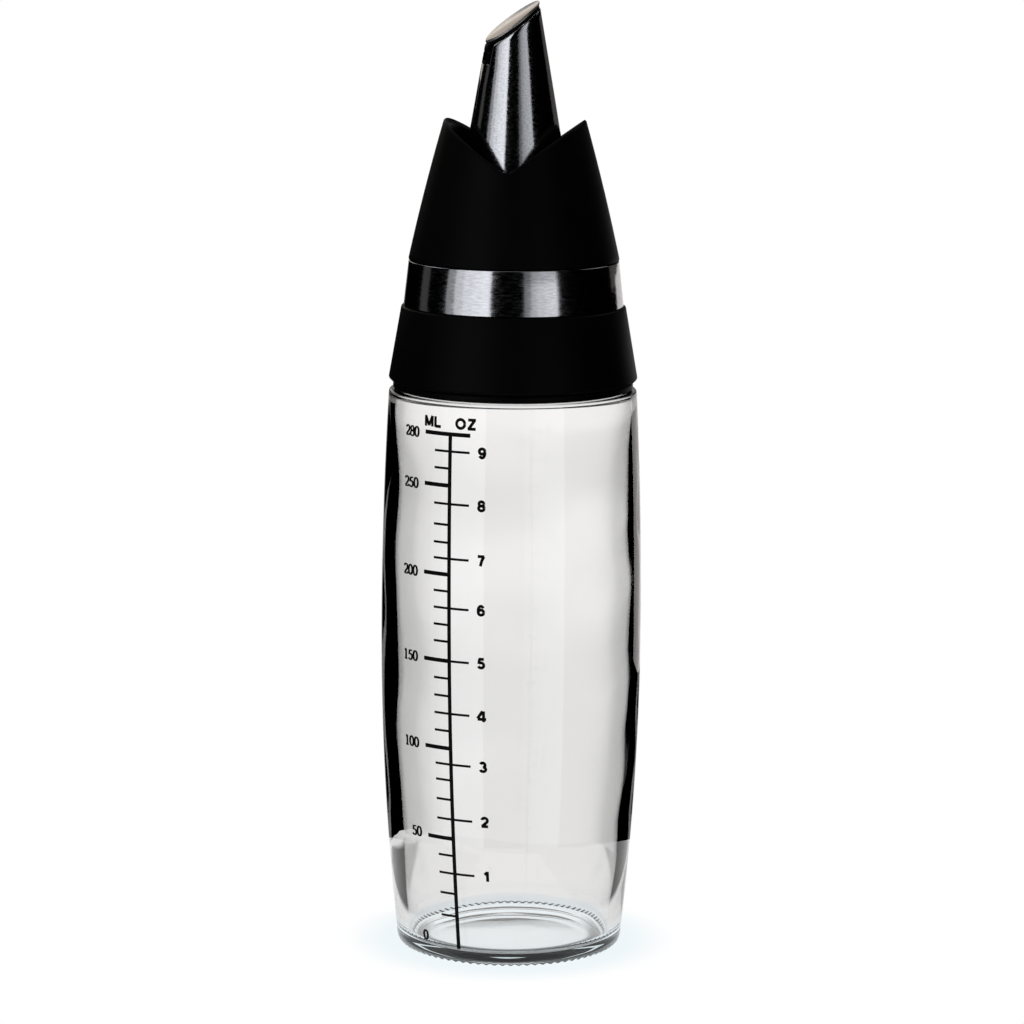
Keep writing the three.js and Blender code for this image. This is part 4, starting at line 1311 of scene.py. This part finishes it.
class CRUET_OT_stage(bpy.types.Operator):
    """Lay the white floor and set the softboxes, the white surround and the camera"""

    bl_idname = "cruet.stage"
    bl_label = "Stage"

    def around(self, shader, facing):
        """1 to the sides and in front, where only views from other sides look through the glass."""
        return 1 - shader.ramp(facing, cosine(AROUND_CORE), cosine(AROUND_EDGE))

    def floor_finish(self, settings):
        """White paper that shows bare. Through the glass it has painted shade: dark sides, a painted
        contact shadow ring under the foot and a dimming all over.
        """
        material, shader = blank("white_floor")
        coordinates = shader.node("ShaderNodeTexCoord", output="Object")
        from_axis = shader.vector_math("LENGTH", coordinates, output="Value")
        paper = shader.noise(coordinates, PAPER_GRAIN)
        lit = shader.node("ShaderNodeBsdfPrincipled", {}, {
            "Base Color": shader.colour(paper, shade(settings.floor, 0.98), shade(settings.floor, 1.02)),
            "Roughness": 0.22 + paper * 0.05,
            "Specular IOR Level": 0.35,
        })
        turned_to = shader.node("ShaderNodeVectorRotate", {"rotation_type": "Z_AXIS"}, {
            "Vector": coordinates, "Angle": -settings.azimuth,
        })
        across, behind = shader.parts(turned_to)[:2]
        path = shader.node("ShaderNodeLightPath", output="Is Camera Ray")
        in_glass = path.output("Is Transmission Ray")
        through = path.output("Transmission Depth") > THROUGH_CROSSINGS
        echoed = (path.output("Glossy Depth") > ECHO_TURNS) * (1 - through)
        far = shader.ramp(from_axis, *CAST_ZONE)
        # Painted contact shadow: a dark ring under the foot, on its front half, seen only through the glass
        painted_contact_shadow = shader.ramp(from_axis, *CONTACT_SHADOW_INNER) * (1 - shader.ramp(from_axis, *CONTACT_SHADOW_OUTER))
        painted_contact_shadow = painted_contact_shadow * (1 - shader.ramp(behind, *CONTACT_SHADOW_BEHIND))
        # Painted shade: the floor's sides, to left and right, are dark where the glass looks at them
        sides = shader.ramp(across.math("ABSOLUTE"), *SHADED_SIDE_ZONE)
        sides = sides * (1 - shader.ramp(from_axis, *SHADED_SIDE_END) * (across < 0))
        lighter = at_least(SHADED_SIDES_LIGHTER, self.around(shader, behind / from_axis))
        sides = sides * (1 - through * lighter)
        cast = shader.colour(far, shade(settings.cast, 1), WHITE)
        cast = shader.colour(far * in_glass, cast, WARM_WHITE)
        tone = shader.colour(painted_contact_shadow * in_glass, cast, CONTACT_SHADOW_TONE)
        # Painted shade: through the glass the whole floor is dimmed, its sides and the rays echoed in the
        # wall most
        painted_dimming = (in_glass * (at_least(FLOOR_SHADE_IN_GLASS, sides) + echoed)).math("MINIMUM", 1)
        white = shader.node("ShaderNodeEmission", {}, {"Color": tone, "Strength": 1 - painted_dimming})
        seen = path + path.output("Is Glossy Ray") + in_glass
        bare = (seen > 0.5) * at_least(FLOOR_BARE, far)
        mixed = shader.node("ShaderNodeMixShader", {}, {0: bare, 1: lit, 2: white})
        shader.node("ShaderNodeOutputMaterial", {}, {"Surface": mixed})
        return material

    def floor(self, settings):
        bm = bmesh.new()
        bmesh.ops.create_circle(bm, cap_ends=True, segments=FLOOR_SEGMENTS, radius=FLOOR_RADIUS)
        mesh = bpy.data.meshes.new("floor")
        bm.to_mesh(mesh)
        bm.free()
        mesh.materials.append(self.floor_finish(settings))
        disc = bpy.data.objects.new("floor", mesh)
        bpy.context.scene.collection.objects.link(disc)

    def surround(self, settings):
        """White for the camera and straight through the glass. Rays caught in the wall see little of it."""
        world = bpy.data.worlds.new("surround")
        bpy.context.scene.world = world
        shader = Shader(world)
        path = shader.node("ShaderNodeLightPath", output="Is Camera Ray")
        towards = shader.node("ShaderNodeTexCoord", output="Generated")
        turn = Matrix.Rotation(settings.azimuth, 3, "Z")
        ahead = turn @ Vector((0, 1, 0))
        upward = turn @ Vector((ABOVE_LEAN, 0, 1))
        level = shader.vector_math("NORMALIZE", shader.vector_math("MULTIPLY", towards, (1, 1, 0)))
        facing = shader.vector_math("DOT_PRODUCT", level, ahead, output="Value")
        rise = shader.vector_math("DOT_PRODUCT", towards, upward, output="Value")
        height = shader.parts(towards)[2]
        middle = shader.ramp(facing, cosine(MIDDLE_EDGE), cosine(MIDDLE_CORE))
        tone = at_least(SIDE_TONE, middle) * at_least(LOW_TONE, shader.ramp(height, *LOW_ZONE))
        sheet = shader.ramp(facing, cosine(SHEET_EDGE), cosine(SHEET_CORE))
        wide_sheet = shader.ramp(facing, cosine(WIDE_EDGE), cosine(WIDE_CORE))
        wide_sheet = at_least(BETWEEN_TONE, wide_sheet + self.around(shader, facing))
        echoes = path.output("Glossy Depth")
        through = path.output("Transmission Depth") > THROUGH_CROSSINGS
        above = shader.ramp(rise, *ABOVE_ZONE)
        in_wall = (echoes < ECHO_TURNS) * (sheet * SHEET_IN_WALL + above * ROOM_IN_WALL)
        passed = wide_sheet.math("MAXIMUM", (echoes > 0.5) * LATE_TONE)
        behind = (through * passed + (1 - through) * in_wall) * tone
        in_glass = path.output("Is Transmission Ray")
        in_steel = (1 - in_glass) * path.output("Is Glossy Ray") * SHEET_IN_STEEL * sheet
        white = path + in_glass * behind + in_steel
        colour = shader.colour(in_glass, WHITE, WARM_WHITE)
        background = shader.node("ShaderNodeBackground", {}, {"Color": colour, "Strength": white})
        shader.node("ShaderNodeOutputWorld", {}, {"Surface": background})

    def lamp(self, name, azimuth, middle, size, brightness, colour=(1, 1, 1)):
        """A lamp that faces the axis, at an azimuth in degrees from the camera's."""
        width, height = size
        light = bpy.data.lights.new(name, "AREA")
        light.shape = "RECTANGLE"
        light.size = width
        light.size_y = height
        light.energy = brightness * math.pi * width * height
        light.color = colour
        lamp = bpy.data.objects.new(name, light)
        angle = bpy.context.scene.cruet.stage.azimuth + math.radians(azimuth)
        lamp.location = (LAMP_DISTANCE * math.sin(angle), -LAMP_DISTANCE * math.cos(angle), middle)
        lamp.rotation_euler = (math.pi / 2, 0, angle)
        lamp.visible_camera = False
        lamp.visible_transmission = False
        bpy.context.scene.collection.objects.link(lamp)
        return lamp

    def softbox(self, name, azimuths, heights, brightness):
        """A softbox from one azimuth to another, in panels that grow brighter."""
        first, last = azimuths
        bottom, top = heights
        width = (last - first) / len(SOFTBOX_STEPS)
        size = (2 * LAMP_DISTANCE * math.tan(math.radians(width / 2)), top - bottom)
        for i, part in enumerate(SOFTBOX_STEPS):
            azimuth = first + width * (i + 0.5)
            self.lamp(f"{name}_{i}", azimuth, (bottom + top) / 2, size, brightness * part, SOFTBOX_COLOUR)

    def panels(self, bright):
        """Lamps that light single edges: their azimuth, middle, size, brightness and colour."""
        self.lamp("edge_strip", -108, 0.25, (0.2, 1.2), bright * 0.05)
        self.lamp("edge_panel", 148, 0.22, (0.7, 0.2), bright * 0.06, (1, 0.95, 0.9))
        self.lamp("rear_panel", 156, 0.015, (0.55, 0.28), bright * 0.55, (1, 0.96, 0.96))
        self.lamp("warm_panel", -158, 0.5, (0.5, 0.5), bright * 0.45, (1, 0.9, 0.8))

    def lamps(self, settings):
        bright = settings.softbox
        back = bright * 0.7
        self.softbox("softbox_left", azimuths=(-75, -24), heights=(-0.5, 1), brightness=bright)
        self.softbox("softbox_right", azimuths=(11, 47), heights=(-0.5, 0.35), brightness=bright * 0.8)
        self.softbox("softbox_high", azimuths=(11, 47), heights=(0.35, 1), brightness=bright * 0.5)
        self.softbox("softbox_back_left", azimuths=(-148, -100), heights=(0.6, 1.2), brightness=back)
        self.softbox("softbox_back_right", azimuths=(100, 148), heights=(0.6, 1.2), brightness=back)
        self.panels(bright)
        overhead = self.lamp("overhead", azimuth=0, middle=0, size=(1.2, 1.2), brightness=0.5)
        overhead.location = (0, 0, OVERHEAD_HEIGHT)
        overhead.rotation_euler = (0, 0, settings.azimuth)

    def camera(self, settings):
        data = bpy.data.cameras.new("camera")
        data.lens = settings.lens
        data.sensor_width = SENSOR_WIDTH
        camera = bpy.data.objects.new("camera", data)
        about_axis = Matrix.Rotation(settings.azimuth, 4, "Z")
        place = Matrix.Translation((0, -settings.distance, settings.height))
        downward = Matrix.Rotation(math.pi / 2 - settings.pitch, 4, "X")
        camera.matrix_world = about_axis @ place @ downward @ Matrix.Rotation(settings.roll, 4, "Z")
        bpy.context.scene.collection.objects.link(camera)
        bpy.context.scene.camera = camera

    def execute(self, context):
        settings = context.scene.cruet.stage
        context.scene.view_settings.view_transform = "Standard"
        self.floor(settings)
        self.surround(settings)
        self.lamps(settings)
        self.camera(settings)
        return {"FINISHED"}


class CRUET_PT_panel(bpy.types.Panel):
    """The cruet's pieces, each with a button that makes it"""

    bl_idname = "CRUET_PT_panel"
    bl_label = "Oil cruet"
    bl_space_type = "VIEW_3D"
    bl_region_type = "UI"
    bl_category = "Cruet"

    def draw(self, context):
        for operator in OPERATORS:
            self.layout.operator(operator.bl_idname)


OPERATORS = (
    CRUET_OT_bottle,
    CRUET_OT_scale,
    CRUET_OT_mouldings,
    CRUET_OT_steelwork,
    CRUET_OT_flap,
    CRUET_OT_seals,
    CRUET_OT_stage,
)
GROUPS = (CruetGlass, CruetScale, CruetPourer, CruetStage, CruetSettings)


def register():
    for item in (*GROUPS, *OPERATORS, CRUET_PT_panel):
        bpy.utils.register_class(item)
    bpy.types.Scene.cruet = PointerProperty(type=CruetSettings)


def unregister():
    del bpy.types.Scene.cruet
    for item in reversed((*GROUPS, *OPERATORS, CRUET_PT_panel)):
        bpy.utils.unregister_class(item)


def main():
    register()
    bpy.ops.cruet.bottle()
    bpy.ops.cruet.scale()
    bpy.ops.cruet.mouldings()
    bpy.ops.cruet.steelwork()
    bpy.ops.cruet.flap()
    bpy.ops.cruet.seals()
    bpy.ops.cruet.stage()


if __name__ == "__main__":
    main()
